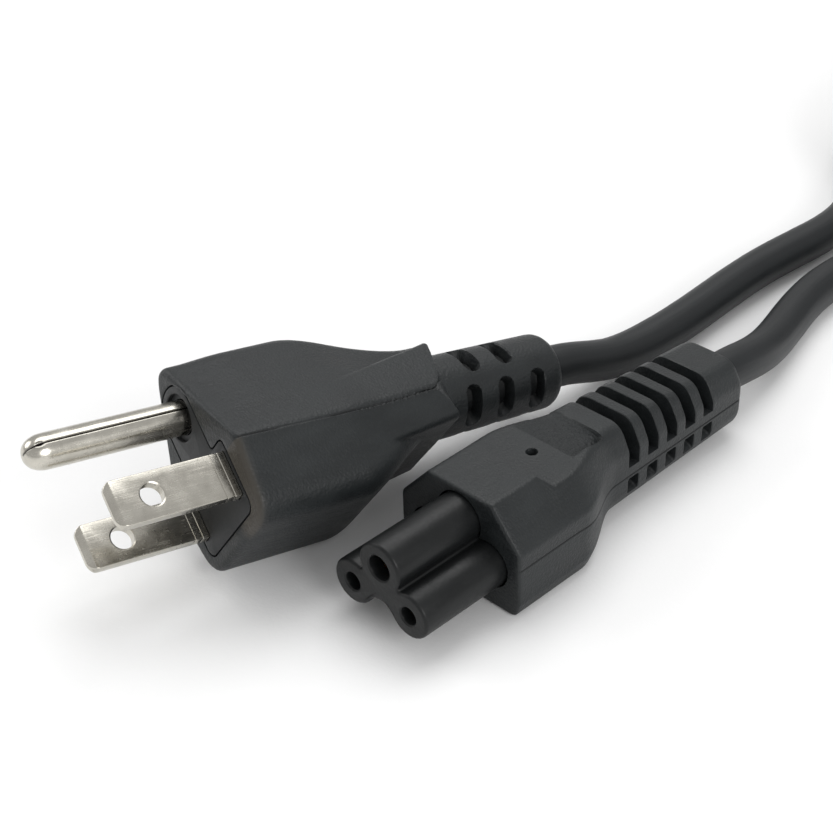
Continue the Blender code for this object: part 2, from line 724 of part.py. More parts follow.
def make_coil(parts, made):
    """Make the outer shape of the coiled length: two straight runs joined by half rings."""
    half_width, low, high = coil_section()
    corner = CORD_RADIUS
    section = rounded([(-half_width, high, corner), (half_width, high, corner),
                       (half_width, low, corner), (-half_width, low, corner)], 3)
    rings = []
    for side in (1, -1):
        for step in range(COIL_END_STEPS + 1):
            angle = math.pi * step / COIL_END_STEPS
            outward = Vector((side * math.cos(angle), side * math.sin(angle)))
            middle = Vector(COIL_CENTRE) + Vector((0.0, side * COIL_RUN / 2))
            ring = []
            for point in section:
                place_at = middle + outward * (COIL_MEAN_RADIUS + point[0])
                ring.append((place_at.x, place_at.y, point[1]))
            rings.append(ring)
    place(ring_form("cord_coil", rings), parts, made)


def make_tie(parts, made):
    """Make the band round the coil's run on the plug's side."""
    half_width, low, high = coil_section()
    middle = COIL_CENTRE[0] - COIL_MEAN_RADIUS
    level = COIL_CENTRE[1] + TIE_FROM_CENTRE
    lines = []
    for grow in (TOUCH_GAP, TOUCH_GAP + TIE_THICKNESS):
        corner = CORD_RADIUS + grow
        left, right = middle - half_width - grow, middle + half_width + grow
        lines.append(rounded([(left, high + grow, corner), (right, high + grow, corner),
                              (right, low - grow, corner), (left, low - grow, corner)], 3))
    inner, outer = lines
    near, far = level - TIE_WIDTH / 2, level + TIE_WIDTH / 2
    rings = []
    for inside, outside in zip(inner, outer):
        rings.append([(inside[0], near, inside[1]), (outside[0], near, outside[1]),
                      (outside[0], far, outside[1]), (inside[0], far, inside[1])])
    place(ring_form("coil_tie", rings), parts, made)


def main():
    """Build the whole cord."""
    clear_scene()
    parts = new_collection(COLLECTION_NAME)
    cutters = new_collection("cutters")
    black = new_material("black_pvc", (0.012, 0.013, 0.013), 0.45)
    rigid = new_material("rigid_black", (0.014, 0.014, 0.014), 0.35)
    bridge = new_material("bridge_plastic", (0.05, 0.045, 0.04), 0.5)
    nickel = new_material("nickel_plate", (0.66, 0.64, 0.58), 0.25, 1.0)
    brass = new_material("contact_brass", (0.6, 0.36, 0.16), 0.35, 1.0)

    plug_end = new_end("plug_end", parts, (*PLUG_FACE_PLACE, plug_floor_height()), plug_rotation())
    connector_height = CONNECTOR_BOTTOM + FLOOR_GAP
    connector_end = new_end("connector_end", parts, (*CONNECTOR_PLACE, connector_height), Euler((0.0, 0.0, 0.0)))

    make_plug_body(parts, cutters, black, plug_end)
    make_blade_bridge(parts, cutters, bridge, plug_end)
    make_blade("line_blade", 1, parts, cutters, nickel, plug_end)
    make_blade("neutral_blade", -1, parts, cutters, nickel, plug_end)
    make_ground_pin(parts, nickel, plug_end)

    make_connector_body(parts, cutters, black, connector_end)
    make_connector_insert(parts, cutters, rigid, connector_end)
    make_contacts(parts, cutters, brass, connector_end)

    plug_start = cord_leaves(plug_end, PLUG_RELIEF_END, (PLUG_CORD_X, 0.0))
    make_cord("plug_cord", plug_start, PLUG_CORD_ROUTE, parts, black)
    connector_start = cord_leaves(connector_end, CONNECTOR_RELIEF_END, (0.0, CONNECTOR_CORD_Z))
    make_cord("connector_cord", connector_start, CONNECTOR_CORD_ROUTE, parts, black)
    make_coil(parts, black)
    make_tie(parts, black)


main()
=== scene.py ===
"""Dressed model of a power cord with a three-pin plug and a cloverleaf connector.

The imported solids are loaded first. Every piece is then worked out in the millimetres
of the end that carries it, and put into the row's metres when it is finished. The
plug's own frame has its face at y = 0, its prongs along -y, x from the ground pin to
the blades and z from the neutral blade to the line blade. The connector's own frame
has its nose at y = 0 and its cord along +y.
"""
import logging
import math
from dataclasses import dataclass
from enum import Enum

import bpy
import numpy as np
from mathutils import Euler, Matrix


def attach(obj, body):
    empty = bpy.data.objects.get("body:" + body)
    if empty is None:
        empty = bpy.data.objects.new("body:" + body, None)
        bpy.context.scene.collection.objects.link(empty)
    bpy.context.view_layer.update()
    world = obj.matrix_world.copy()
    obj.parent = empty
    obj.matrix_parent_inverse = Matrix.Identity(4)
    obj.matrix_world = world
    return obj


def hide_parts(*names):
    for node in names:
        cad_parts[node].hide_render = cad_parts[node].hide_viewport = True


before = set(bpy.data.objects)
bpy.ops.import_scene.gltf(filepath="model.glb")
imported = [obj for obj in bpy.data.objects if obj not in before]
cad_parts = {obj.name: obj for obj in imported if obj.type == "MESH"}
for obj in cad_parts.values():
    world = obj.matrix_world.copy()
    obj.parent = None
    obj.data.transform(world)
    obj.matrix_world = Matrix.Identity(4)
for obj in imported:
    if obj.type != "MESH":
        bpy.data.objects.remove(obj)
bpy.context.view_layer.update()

LOG = logging.getLogger("power_cord")
MM = 0.001
FLOOR_GAP = 0.02
BODY = "root"
OWN = "own"

Array = np.ndarray
Colour = tuple[float, float, float]

# The directions of a round edge's rings, from its start to a quarter turn.
QUARTER_TURN = np.radians(np.array([15.0, 30.0, 45.0, 60.0, 75.0, 90.0]))
COARSE_QUARTER_TURN = np.radians(np.array([0.0, 22.5, 45.0, 67.5, 90.0]))

# The hole by which the cord leaves a moulding, from its rim inwards: each ring's
# radius, and how far it stands past the moulding's end.
CORD_HOLE_RADII = (3.6, 3.42, 3.36, 3.36, 3.36, 1.8)
CORD_HOLE_LEVELS = (0.0, -0.03, -0.15, -1.2, -2.4, -2.4)


class Mark(Enum):
    """A number kept at a piece's points, which its material reads."""

    # The seam mark is painted shade: it darkens the parting lines' grooves, the flash's dips, the pin's
    # groove and the floors of slots, grooves and windows.
    SEAM = "seam"
    WARM = "warm"
    PAD = "pad"


# ---------------------------------------------------------------- numbers

def smooth(value: Array | float) -> Array:
    """Return 3v^2 - 2v^3 of a value held between 0 and 1: an eased share."""
    held = np.clip(value, 0.0, 1.0)
    return held * held * (3.0 - 2.0 * held)


def eased_step(value: Array, step: tuple[float, float]) -> Array:
    """Return an eased share, 0 up to the step's start and 1 from its width past that."""
    return smooth((value - step[0]) / step[1])


def softer_max(first: Array, second: Array, width: float) -> Array:
    """Return the larger of two arrays, with a fillet where they cross.

    The sum is b + (a - b)h + w h(1 - h), where h rises from 0 to 1 as a passes b.

    Args:
        first: The values a.
        second: The values b.
        width: The width w over which one takes over from the other.

    Returns:
        The blended maximum.
    """
    share = np.clip(0.5 + 0.5 * (first - second) / width, 0.0, 1.0)
    return second + (first - second) * share + width * share * (1.0 - share)


def bell(distance: Array, width: float) -> Array:
    """Return exp(-(d / w)^2), a soft spot of a given width."""
    return np.exp(-(distance / width) ** 2)


def half_turned(degrees: Array) -> Array:
    """Return angles in degrees brought between -180 and 180."""
    return (degrees + 180.0) % 360.0 - 180.0


def unit(vectors: Array) -> Array:
    """Return vectors divided by their lengths."""
    return vectors / np.linalg.norm(vectors, axis=-1, keepdims=True)


def walked_along(points: Array) -> Array:
    """Return the length of a chain of points up to each of them."""
    return np.concatenate([[0.0], np.cumsum(np.linalg.norm(np.diff(points, axis=0), axis=1))])


def taken_at(wanted: Array, walked: Array, points: Array) -> Array:
    """Return the points of a chain at wanted lengths along it."""
    return np.stack([np.interp(wanted, walked, column) for column in points.T], axis=1)


def clustered_angles(count: int, spots: tuple[tuple[float, float, float], ...]) -> Array:
    """Return angles round a full turn that stand closer together near some directions.

    The density is 1 plus a bell of some gain at each spot, and the angles are where its
    running sum passes equal steps.

    Args:
        count: How many angles.
        spots: Each spot's direction and half width in degrees, and its gain.

    Returns:
        The angles in radians, from 0 upwards.
    """
    fine = np.linspace(0.0, 360.0, 7201)
    density = np.ones_like(fine)
    for middle, width, gain in spots:
        density += gain * bell(half_turned(fine - middle), width)
    running = np.concatenate([[0.0], np.cumsum((density[1:] + density[:-1]) / 2.0)])
    wanted = np.arange(count) / count * running[-1]
    return np.radians(np.interp(wanted, running, fine))


def rounded_outline(corners: Array, steps: int = 8) -> Array:
    """Return closed outlines whose corners are arcs.

    An arc starts r / tan(half angle) before its corner, at most 0.48 of a side, and
    turns about the point where the two sides' normals meet.

    Args:
        corners: Corners as (..., count, 3) of x, z and radius.
        steps: Steps on each arc.

    Returns:
        Points as (..., count * (steps + 1), 2).
    """
    here = corners[..., :2]
    before = np.roll(here, 1, axis=-2) - here
    after = np.roll(here, -1, axis=-2) - here
    before_length = np.linalg.norm(before, axis=-1, keepdims=True)
    after_length = np.linalg.norm(after, axis=-1, keepdims=True)
    before, after = before / before_length, after / after_length
    half = np.arccos(np.clip((before * after).sum(-1, keepdims=True), -0.9999, 0.9999)) / 2.0
    longest = 0.48 * np.minimum(before_length, after_length)
    reach = np.minimum(corners[..., 2:3] / np.tan(half), longest)
    middle = before + after
    centre = here + middle / np.linalg.norm(middle, axis=-1, keepdims=True) * reach / np.cos(half)
    start = here + before * reach - centre
    end = here + after * reach - centre
    sweep = np.arctan2(start[..., 0] * end[..., 1] - start[..., 1] * end[..., 0], (start * end).sum(-1))
    turn = sweep[..., None] * np.linspace(0.0, 1.0, steps + 1)
    x = start[..., 0, None] * np.cos(turn) - start[..., 1, None] * np.sin(turn)
    z = start[..., 0, None] * np.sin(turn) + start[..., 1, None] * np.cos(turn)
    points = centre[..., None, :] + np.stack([x, z], axis=-1)
    return points.reshape(*corners.shape[:-2], -1, 2)


def box_corners(half: float, middle: float, thick: float, radius: float) -> Array:
    """Return a box's four corners from its half width, its middle, its half thickness and a radius."""
    low, high = middle - thick, middle + thick
    return np.array([(-half, low, radius), (half, low, radius), (half, high, radius), (-half, high, radius)])


def both_halves(corners: Array) -> Array:
    """Return whole outlines' corners from their upper halves, mirrored in z."""
    lower = corners[..., ::-1, :] * np.array([1.0, -1.0, 1.0])
    return np.concatenate([corners, lower], axis=-2)


def along_rays(outline: Array, centre: Array, angles: Array) -> Array:
    """Return how far outlines lie from their centres along each angle.

    Every side is cut by every ray: with a and b the cross products of the side's ends
    with the ray, the cut is at a / (a - b) of the side. The farthest cut counts.

    Args:
        outline: Closed outlines as (rows, points, 2).
        centre: The rows' centres as (rows, 2).
        angles: The rays' angles from +x towards +z.

    Returns:
        Distances as (rows, rays).
    """
    ray = np.stack([np.cos(angles), np.sin(angles)], axis=0)
    near = outline - centre[:, None, :]
    far = np.roll(near, -1, axis=1)
    near_side = near[..., 0:1] * ray[1] - near[..., 1:2] * ray[0]
    far_side = far[..., 0:1] * ray[1] - far[..., 1:2] * ray[0]
    near_reach, far_reach = near @ ray, far @ ray
    gap = near_side - far_side
    cut = (near_side * far_side <= 0.0) & (np.abs(gap) > 1e-12)
    share = near_side / np.where(cut, gap, 1.0)
    reach = near_reach + (far_reach - near_reach) * share
    return np.where(cut & (reach > 0.0), reach, 0.0).max(axis=1)


def circle_reach(radius: float, offset: Array, angles: Array) -> Array:
    """Return c.d + sqrt(R^2 - c.c + (c.d)^2): a circle's distance along rays d.

    Args:
        radius: The circle's radius R.
        offset: The circle's centre c from the rays' start, (rows, 2).
        angles: The rays' angles.

    Returns:
        Distances as (rows, rays).
    """
    ray = np.stack([np.cos(angles), np.sin(angles)], axis=0)
    toward = offset @ ray
    beside = radius ** 2 - (offset ** 2).sum(-1)[:, None] + toward ** 2
    return toward + np.sqrt(np.maximum(beside, 0.0))


def slot_mask(across: Array, along: Array, half_length: float, half_width: float, edge: float) -> Array:
    """Return 1 inside a round-ended slot and 0 outside, with a soft edge.

    The distance is that to the slot's middle line, less its half width.

    Args:
        across: Distance from the slot's middle along its length.
        along: Distance from its middle line.
        half_length: Half of the slot's length, round ends included.
        half_width: Half of its width.
        edge: Half of the width over which the mask falls.

    Returns:
        The mask.
    """
    past_end = np.maximum(np.abs(across) - (half_length - half_width), 0.0)
    return smooth(0.5 - (np.hypot(past_end, along) - half_width) / (2.0 * edge))


def box_mask(first: Array, second: Array, half_sizes: tuple[float, float], corner: float,
             edge: float) -> Array:
    """Return 1 inside a rectangle with round corners and 0 outside, with a soft edge.

    The distance is that to the rectangle less its corners' radius: the length of what
    is outside along both directions, plus the lesser depth inside.

    Args:
        first: Distance from the rectangle's middle in its first direction.
        second: Distance in its second direction.
        half_sizes: Its half sizes in both.
        corner: Its corners' radius.
        edge: Half of the width over which the mask falls.

    Returns:
        The mask.
    """
    dx = np.abs(first) - (half_sizes[0] - corner)
    dy = np.abs(second) - (half_sizes[1] - corner)
    outside = np.hypot(np.maximum(dx, 0.0), np.maximum(dy, 0.0)) + np.minimum(np.maximum(dx, dy), 0.0)
    return smooth(0.5 - (outside - corner) / (2.0 * edge))


def ragged(value: Array, seed: float) -> Array:
    """Return an uneven wave between about -1 and 1, a sum of sines that never line up."""
    slow, middle, fast = 5.1 * value + seed, 8.3 * value + 2.1 * seed, 13.7 * value + 0.7 * seed
    return (np.sin(slow) + np.sin(middle) + np.sin(fast)) / 2.4


def spline_through(points: Array, spacing: float) -> Array:
    """Return evenly spaced points on the natural cubic spline through given points.

    The second derivatives M solve h0 M0 + 2(h0 + h1) M1 + h1 M2 = 6(slope1 - slope0) at
    every inner point and are 0 at both ends, with h the chords between the points.

    Args:
        points: The points to pass, (count, 3).
        spacing: The wanted distance between the returned points.

    Returns:
        Points as (count, 3).
    """
    chord = np.linalg.norm(np.diff(points, axis=0), axis=1)
    slope = np.diff(points, axis=0) / chord[:, None]
    inner = len(points) - 2
    between = chord[1:-1]
    system = np.diag(2.0 * (chord[:-1] + chord[1:])) + np.diag(between, 1) + np.diag(between, -1)
    bend = np.zeros_like(points)
    bend[1:-1] = np.linalg.solve(system[:inner, :inner], 6.0 * np.diff(slope, axis=0))
    start = np.concatenate([[0.0], np.cumsum(chord)])
    fine = np.linspace(0.0, start[-1], int(start[-1] * 10))
    piece = np.clip(np.searchsorted(start, fine, side="right") - 1, 0, len(chord) - 1)
    h, t = chord[piece][:, None], (fine - start[piece])[:, None]
    straight = points[piece] * (h - t) / h + points[piece + 1] * t / h
    before, after = (h - t) ** 3 / h - h * (h - t), t ** 3 / h - h * t
    curve = straight + before * bend[piece] / 6.0 + after * bend[piece + 1] / 6.0
    walked = walked_along(curve)
    wanted = np.linspace(0.0, walked[-1], int(round(walked[-1] / spacing)) + 1)
    return taken_at(wanted, walked, curve)


# ---------------------------------------------------------------- meshes

@dataclass(frozen=True)
class Place:
    """Where a frame of its own, in millimetres, stands in the row."""

    origin: tuple[float, float, float]
    turn: tuple[float, float, float] = (0.0, 0.0, 0.0)

    def put(self, points: Array) -> Array:
        """Turn and move points of this frame into the row, none of them below the floor.

        Args:
            points: The points in this frame's millimetres, (count, 3).

        Returns:
            The points in the row's metres.
        """
        matrix = np.array(Euler(self.turn, "YXZ").to_matrix())
        moved = points @ matrix.T + np.array(self.origin)
        moved[:, 2] = np.maximum(moved[:, 2], FLOOR_GAP)
        return moved * MM


ROW = Place((0.0, 0.0, 0.0))


def skinned(name: str, grid: Array, marks: dict[Mark, Array] | None = None,
            poles: tuple[Array, Array] | None = None) -> bpy.types.Object:
    """Skin a closed form through rings of points.

    Point j of ring i is grid[i, j]; each face joins two neighbours of one ring to the
    same two of the next, and a fan of faces over each end ring meets in a pole. The
    faces are turned over if the sum of a.(b x c) / 6 over all triangles, the volume,
    is negative.

    Args:
        name: The piece's name.
        grid: Points as (rings, points, 3), in millimetres.
        marks: Numbers for each point, (rings, points).
        poles: The two points in which the end fans meet; the rings' means without it.

    Returns:
        The new object, linked to the scene.
    """
    rings, count = grid.shape[:2]
    index = np.arange(rings * count).reshape(rings, count)
    near, far = index[:-1], index[1:]
    quads = np.stack([near, np.roll(near, -1, 1), np.roll(far, -1, 1), far], axis=-1).reshape(-1, 4)
    first, last = poles if poles is not None else (grid[0].mean(0), grid[-1].mean(0))
    points = np.vstack([grid.reshape(-1, 3), first, last])
    low, high = index[0], index[-1]
    fans = np.concatenate([
        np.stack([np.full(count, rings * count), np.roll(low, -1), low], axis=1),
        np.stack([np.full(count, rings * count + 1), high, np.roll(high, -1)], axis=1),
    ])
    halves = np.concatenate([quads[:, [0, 1, 2]], quads[:, [0, 2, 3]], fans])
    a, b, c = (points[halves[:, corner]] for corner in range(3))
    if (a * np.cross(b, c)).sum() < 0.0:
        quads, fans = quads[:, ::-1], fans[:, ::-1]
    mesh = bpy.data.meshes.new(name)
    mesh.vertices.add(len(points))
    mesh.vertices.foreach_set("co", points.astype(np.float32).ravel())
    mesh.loops.add(quads.size + fans.size)
    mesh.loops.foreach_set("vertex_index", np.concatenate([quads.ravel(), fans.ravel()]).astype(np.int32))
    mesh.polygons.add(len(quads) + len(fans))
    starts = np.concatenate([np.arange(len(quads)) * 4, quads.size + np.arange(len(fans)) * 3])
    mesh.polygons.foreach_set("loop_start", starts.astype(np.int32))
    mesh.update(calc_edges=True)
    for mark, values in (marks or {}).items():
        spare = np.zeros(len(points) - values.size)
        layer = mesh.attributes.new(mark.value, "FLOAT", "POINT")
        layer.data.foreach_set("value", np.concatenate([values.ravel(), spare]).astype(np.float32))
    made = bpy.data.objects.new(name, mesh)
    bpy.context.scene.collection.objects.link(made)
    return made


def turned_form(name: str, profile: Array, centre: tuple[float, float], steps: int = 48) -> bpy.types.Object:
    """Turn a profile about the y direction: x = cx + r cos a, z = cz + r sin a.

    Args:
        name: The piece's name.
        profile: Radius and y of each ring, (rings, 2).
        centre: The axis's x and z.
        steps: Points on each ring.

    Returns:
        The new object.
    """
    angle = np.linspace(0.0, math.tau, steps, endpoint=False)
    x = centre[0] + profile[:, 0:1] * np.cos(angle)
    z = centre[1] + profile[:, 0:1] * np.sin(angle)
    y = np.broadcast_to(profile[:, 1:2], x.shape)
    return skinned(name, np.stack([x, y, z], axis=-1))


def lofted(name: str, outlines: Array, levels: Array,
           pole: tuple[float, float] | None = None) -> bpy.types.Object:
    """Skin a form through x, z outlines that stand at y levels.

    Args:
        name: The piece's name.
        outlines: Outlines as (rings, points, 2).
        levels: The y of each ring.
        pole: The x and z in which the end caps meet.

    Returns:
        The new object.
    """
    height = np.broadcast_to(levels[:, None], outlines.shape[:2])
    grid = np.stack([outlines[..., 0], height, outlines[..., 1]], axis=-1)
    poles = None
    if pole is not None:
        poles = tuple(np.array([pole[0], levels[end], pole[1]]) for end in (0, -1))
    return skinned(name, grid, poles=poles)


def carve(target: bpy.types.Object, cutters: list[bpy.types.Object]) -> None:
    """Cut closed forms out of a closed form and remove them.

    Args:
        target: The form that is cut.
        cutters: The forms that are taken out of it.
    """
    for cutter in cutters:
        cut = target.modifiers.new(cutter.name, "BOOLEAN")
        cut.operation, cut.solver, cut.object = "DIFFERENCE", "EXACT", cutter
    bpy.context.view_layer.update()
    result = bpy.data.meshes.new_from_object(target.evaluated_get(bpy.context.evaluated_depsgraph_get()))
    target.modifiers.clear()
    spare = target.data
    target.data = result
    bpy.data.meshes.remove(spare)
    result.name = target.name
    for cutter in cutters:
        mesh = cutter.data
        bpy.data.objects.remove(cutter)
        bpy.data.meshes.remove(mesh)


def settle(piece: bpy.types.Object, place: Place, sharp: float, own: Array | None = None) -> None:
    """Put a finished form into the row and keep its own coordinates for its material.

    Args:
        piece: The form, its mesh in its own millimetres.
        place: Where its frame stands.
        sharp: Edges that turn by more than this, in degrees, stay sharp.
        own: The coordinates to keep, if not the form's own millimetres.
    """
    mesh = piece.data
    points = np.empty(len(mesh.vertices) * 3, dtype=np.float32)
    mesh.vertices.foreach_get("co", points)
    points = points.reshape(-1, 3).astype(float)
    layer = mesh.attributes.new(OWN, "FLOAT_VECTOR", "POINT")
    layer.data.foreach_set("vector", (points if own is None else own).astype(np.float32).ravel())
    mesh.vertices.foreach_set("co", place.put(points).astype(np.float32).ravel())
    mesh.shade_smooth()
    mesh.set_sharp_from_angle(angle=math.radians(sharp))
    mesh.update()


def dress(piece: bpy.types.Object, made: bpy.types.Material, slot: str, *nodes: str) -> None:
    """Give a piece its material, its body and the solids that it stands for.

    Args:
        piece: The piece.
        made: Its material.
        slot: Not used.
        nodes: The solids' names.
    """
    piece.data.materials.clear()
    piece.data.materials.append(made)
    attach(piece, BODY)
    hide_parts(*nodes)
    LOG.info("%s: %d faces, for %s", piece.name, len(piece.data.polygons), ", ".join(nodes))


# ---------------------------------------------------------------- materials

class Shade:
    """A number that changes over a surface; an expression on it adds its Math nodes."""

    def __init__(self, recipe: "Recipe", socket: bpy.types.NodeSocket) -> None:
        """Wrap an output socket of a recipe."""
        self.recipe = recipe
        self.socket = socket

    def _math(self, operation: str, first: object, second: object = 0.0) -> "Shade":
        """Return the result of one Math node."""
        node = self.recipe.add("ShaderNodeMath", {"operation": operation}, {0: first, 1: second})
        return Shade(self.recipe, node.outputs[0])

    def __add__(self, other: object) -> "Shade":
        """Return self + other."""
        return self._math("ADD", self, other)

    __radd__ = __add__

    def __sub__(self, other: object) -> "Shade":
        """Return self - other."""
        return self._math("SUBTRACT", self, other)

    def __rsub__(self, other: object) -> "Shade":
        """Return other - self."""
        return self._math("SUBTRACT", other, self)

    def __mul__(self, other: object) -> "Shade":
        """Return self * other."""
        return self._math("MULTIPLY", self, other)

    __rmul__ = __mul__

    def wave(self) -> "Shade":
        """Return the sine of self."""
        return self._math("SINE", self)

    def steps(self, low: float, high: float) -> "Shade":
        """Return 0 below low, 1 above high and an eased share between."""
        node = self.recipe.add("ShaderNodeMapRange", {"interpolation_type": "SMOOTHSTEP"},
                               {"Value": self, "From Min": low, "From Max": high})
        return Shade(self.recipe, node.outputs["Result"])


class Recipe:
    """One material's nodes, added by one method."""

    def __init__(self, name: str, metallic: float = 0.0, specular: float = 0.5) -> None:
        """Start a Principled material whose whole-surface numbers are set directly.

        Args:
            name: The material's name.
            metallic: How metallic it is all over.
            specular: Its specular level all over.
        """
        self.material = bpy.data.materials.new(name)
        self.material.use_nodes = True
        self.tree = self.material.node_tree
        self.shader = self.tree.nodes["Principled BSDF"]
        self.shader.inputs["Metallic"].default_value = metallic
        self.shader.inputs["Specular IOR Level"].default_value = specular

    def add(self, kind: str, settings: dict[str, object] | None = None,
            inputs: dict[object, object] | None = None) -> bpy.types.Node:
        """Add a node.

        Args:
            kind: The node's type.
            settings: Its settings by name, set first.
            inputs: Values or links of its sockets, by name or number.

        Returns:
            The node.
        """
        node = self.tree.nodes.new(kind)
        for name, value in (settings or {}).items():
            setattr(node, name, value)
        for name, value in (inputs or {}).items():
            value = value.socket if isinstance(value, Shade) else value
            if isinstance(value, bpy.types.NodeSocket):
                self.tree.links.new(value, node.inputs[name])
            else:
                node.inputs[name].default_value = value
        return node

    def own(self) -> bpy.types.NodeSocket:
        """Return the piece's own coordinates, in millimetres."""
        return self.add("ShaderNodeAttribute", {"attribute_name": OWN}).outputs["Vector"]

    def mark(self, mark: Mark) -> Shade:
        """Return a number kept at the piece's points."""
        return Shade(self, self.add("ShaderNodeAttribute", {"attribute_name": mark.value}).outputs["Fac"])

    def object_mm(self) -> bpy.types.NodeSocket:
        """Return Object coordinates, in millimetres."""
        place = self.add("ShaderNodeTexCoord").outputs["Object"]
        return self.stretched(place, (1.0 / MM,) * 3)

    def stretched(self, vector: bpy.types.NodeSocket, by: tuple[float, float, float]) -> bpy.types.NodeSocket:
        """Return a vector times a number for each of its directions."""
        node = self.add("ShaderNodeVectorMath", {"operation": "MULTIPLY"}, {0: vector, 1: by})
        return node.outputs["Vector"]

    def axis(self, vector: bpy.types.NodeSocket, name: str) -> Shade:
        """Return one direction of a vector: X, Y or Z."""
        return Shade(self, self.add("ShaderNodeSeparateXYZ", {}, {"Vector": vector}).outputs[name])

    def noise(self, vector: bpy.types.NodeSocket, size: float, detail: float = 2.0) -> Shade:
        """Return noise between 0 and 1 whose patches are about a size across."""
        node = self.add("ShaderNodeTexNoise", {}, {"Vector": vector, "Scale": 1.0 / size, "Detail": detail})
        return Shade(self, node.outputs["Fac"])

    def cells(self, vector: bpy.types.NodeSocket, size: float) -> Shade:
        """Return the distance to the nearest of scattered points about a size apart."""
        node = self.add("ShaderNodeTexVoronoi", {}, {"Vector": vector, "Scale": 1.0 / size})
        return Shade(self, node.outputs["Distance"])

    def mixed(self, share: Shade, first: object, second: object) -> bpy.types.NodeSocket:
        """Return a colour between two others.

        Args:
            share: The second one's share.
            first: A colour or a colour socket.
            second: Another.

        Returns:
            The mixed colour's socket.
        """
        first, second = [(*value, 1.0) if isinstance(value, tuple) else value for value in (first, second)]
        node = self.add("ShaderNodeMix", {"data_type": "RGBA"}, {0: share, 6: first, 7: second})
        return node.outputs[2]

    def finish(self, colour: bpy.types.NodeSocket, roughness: Shade, height: Shade, depth: float) -> None:
        """Link colour, roughness and a bump whose height is in millimetres.

        Args:
            colour: The base colour.
            roughness: The roughness.
            height: The surface's height, where 1 stands for depth.
            depth: The bump's depth in millimetres.
        """
        bump = self.add("ShaderNodeBump", {}, {"Height": height, "Distance": depth * MM, "Strength": 1.0})
        self.tree.links.new(colour, self.shader.inputs["Base Color"])
        self.tree.links.new(roughness.socket, self.shader.inputs["Roughness"])
        self.tree.links.new(bump.outputs["Normal"], self.shader.inputs["Normal"])


@dataclass(frozen=True)
class MouldedPlastic:
    """Satin moulded plastic: mottled colour, fine grain and faint flow marks."""

    light: Colour
    dark: Colour
    roughness: float
    grain: float = 0.28
    grain_depth: float = 0.012
    flow: tuple[float, float, float] = (1.0, 0.35, 1.0)
    flow_size: float = 3.2
    speckle: float = 0.55
    stain: Colour = (0.075, 0.064, 0.05)
    sheen: float = 0.35
    marks: bool = False

    def make(self, name: str) -> bpy.types.Material:
        """Return the material.

        Args:
            name: The material's name.

        Returns:
            A Principled material that reads the piece's own coordinates.
        """
        recipe = Recipe(name, specular=self.sheen)
        own = recipe.own()
        cloud = recipe.noise(recipe.stretched(own, self.flow), self.flow_size, 4.0)
        fine = recipe.noise(own, self.grain, 3.0)
        pores = recipe.cells(own, self.grain * 1.6)
        colour = recipe.mixed((cloud * 1.5 - 0.25), self.dark, self.light)
        colour = recipe.mixed(fine.steps(0.62, 0.8) * 0.35, colour, tuple(1.7 * part for part in self.light))
        rough = self.roughness + (cloud - 0.5) * 0.30 + (fine - 0.5) * 0.24
        height = fine * 0.6 + pores * 0.4 + cloud * 1.6
        if self.marks:
            seam, pad, warm = (recipe.mark(mark) for mark in (Mark.SEAM, Mark.PAD, Mark.WARM))
            # Painted shade: where the seam mark stands, in grooves and in slot, groove and window floors, the
            # colour goes to a quarter of the dark tone.
            colour = recipe.mixed(seam * 0.75, colour, tuple(0.25 * part for part in self.dark))
            colour = recipe.mixed(warm * 0.55, colour, self.stain)
            colour = recipe.mixed(pad * 0.3, colour, self.dark)
            speckle = recipe.noise(own, self.speckle, 3.0)
            height = height + pad * (speckle * 4.0)
            rough = rough + pad * 0.12 + seam * 0.1
        recipe.finish(colour, rough, height, self.grain_depth)
        return recipe.material


@dataclass(frozen=True)
class CordJacket:
    """Extruded jacket: streaks that run along the cord and a soft satin sheen."""

    light: Colour
    dark: Colour
    roughness: float
    streak: float = 0.7
    streak_flow: tuple[float, float, float] = (1.0, 0.03, 1.0)
    patch: float = 4.0
    patch_flow: tuple[float, float, float] = (1.0, 0.3, 1.0)
    grain: float = 0.25
    sheen: float = 0.34

    def make(self, name: str) -> bpy.types.Material:
        """Return the material, which reads coordinates that follow the cord.

        Args:
            name: The material's name.

        Returns:
            A Principled material, streaked along its own y.
        """
        recipe = Recipe(name, specular=self.sheen)
        own = recipe.own()
        drawn = recipe.noise(recipe.stretched(own, self.streak_flow), self.streak, 3.0)
        cloud = recipe.noise(recipe.stretched(own, self.patch_flow), self.patch, 3.0)
        fine = recipe.noise(own, self.grain, 3.0)
        colour = recipe.mixed(cloud * 0.7 + drawn * 0.5 - 0.1, self.dark, self.light)
        rough = self.roughness + (cloud - 0.5) * 0.14 + (drawn - 0.5) * 0.12
        recipe.finish(colour, rough, drawn * 1.2 + fine * 0.4 + cloud * 2.0, 0.04)
        return recipe.material


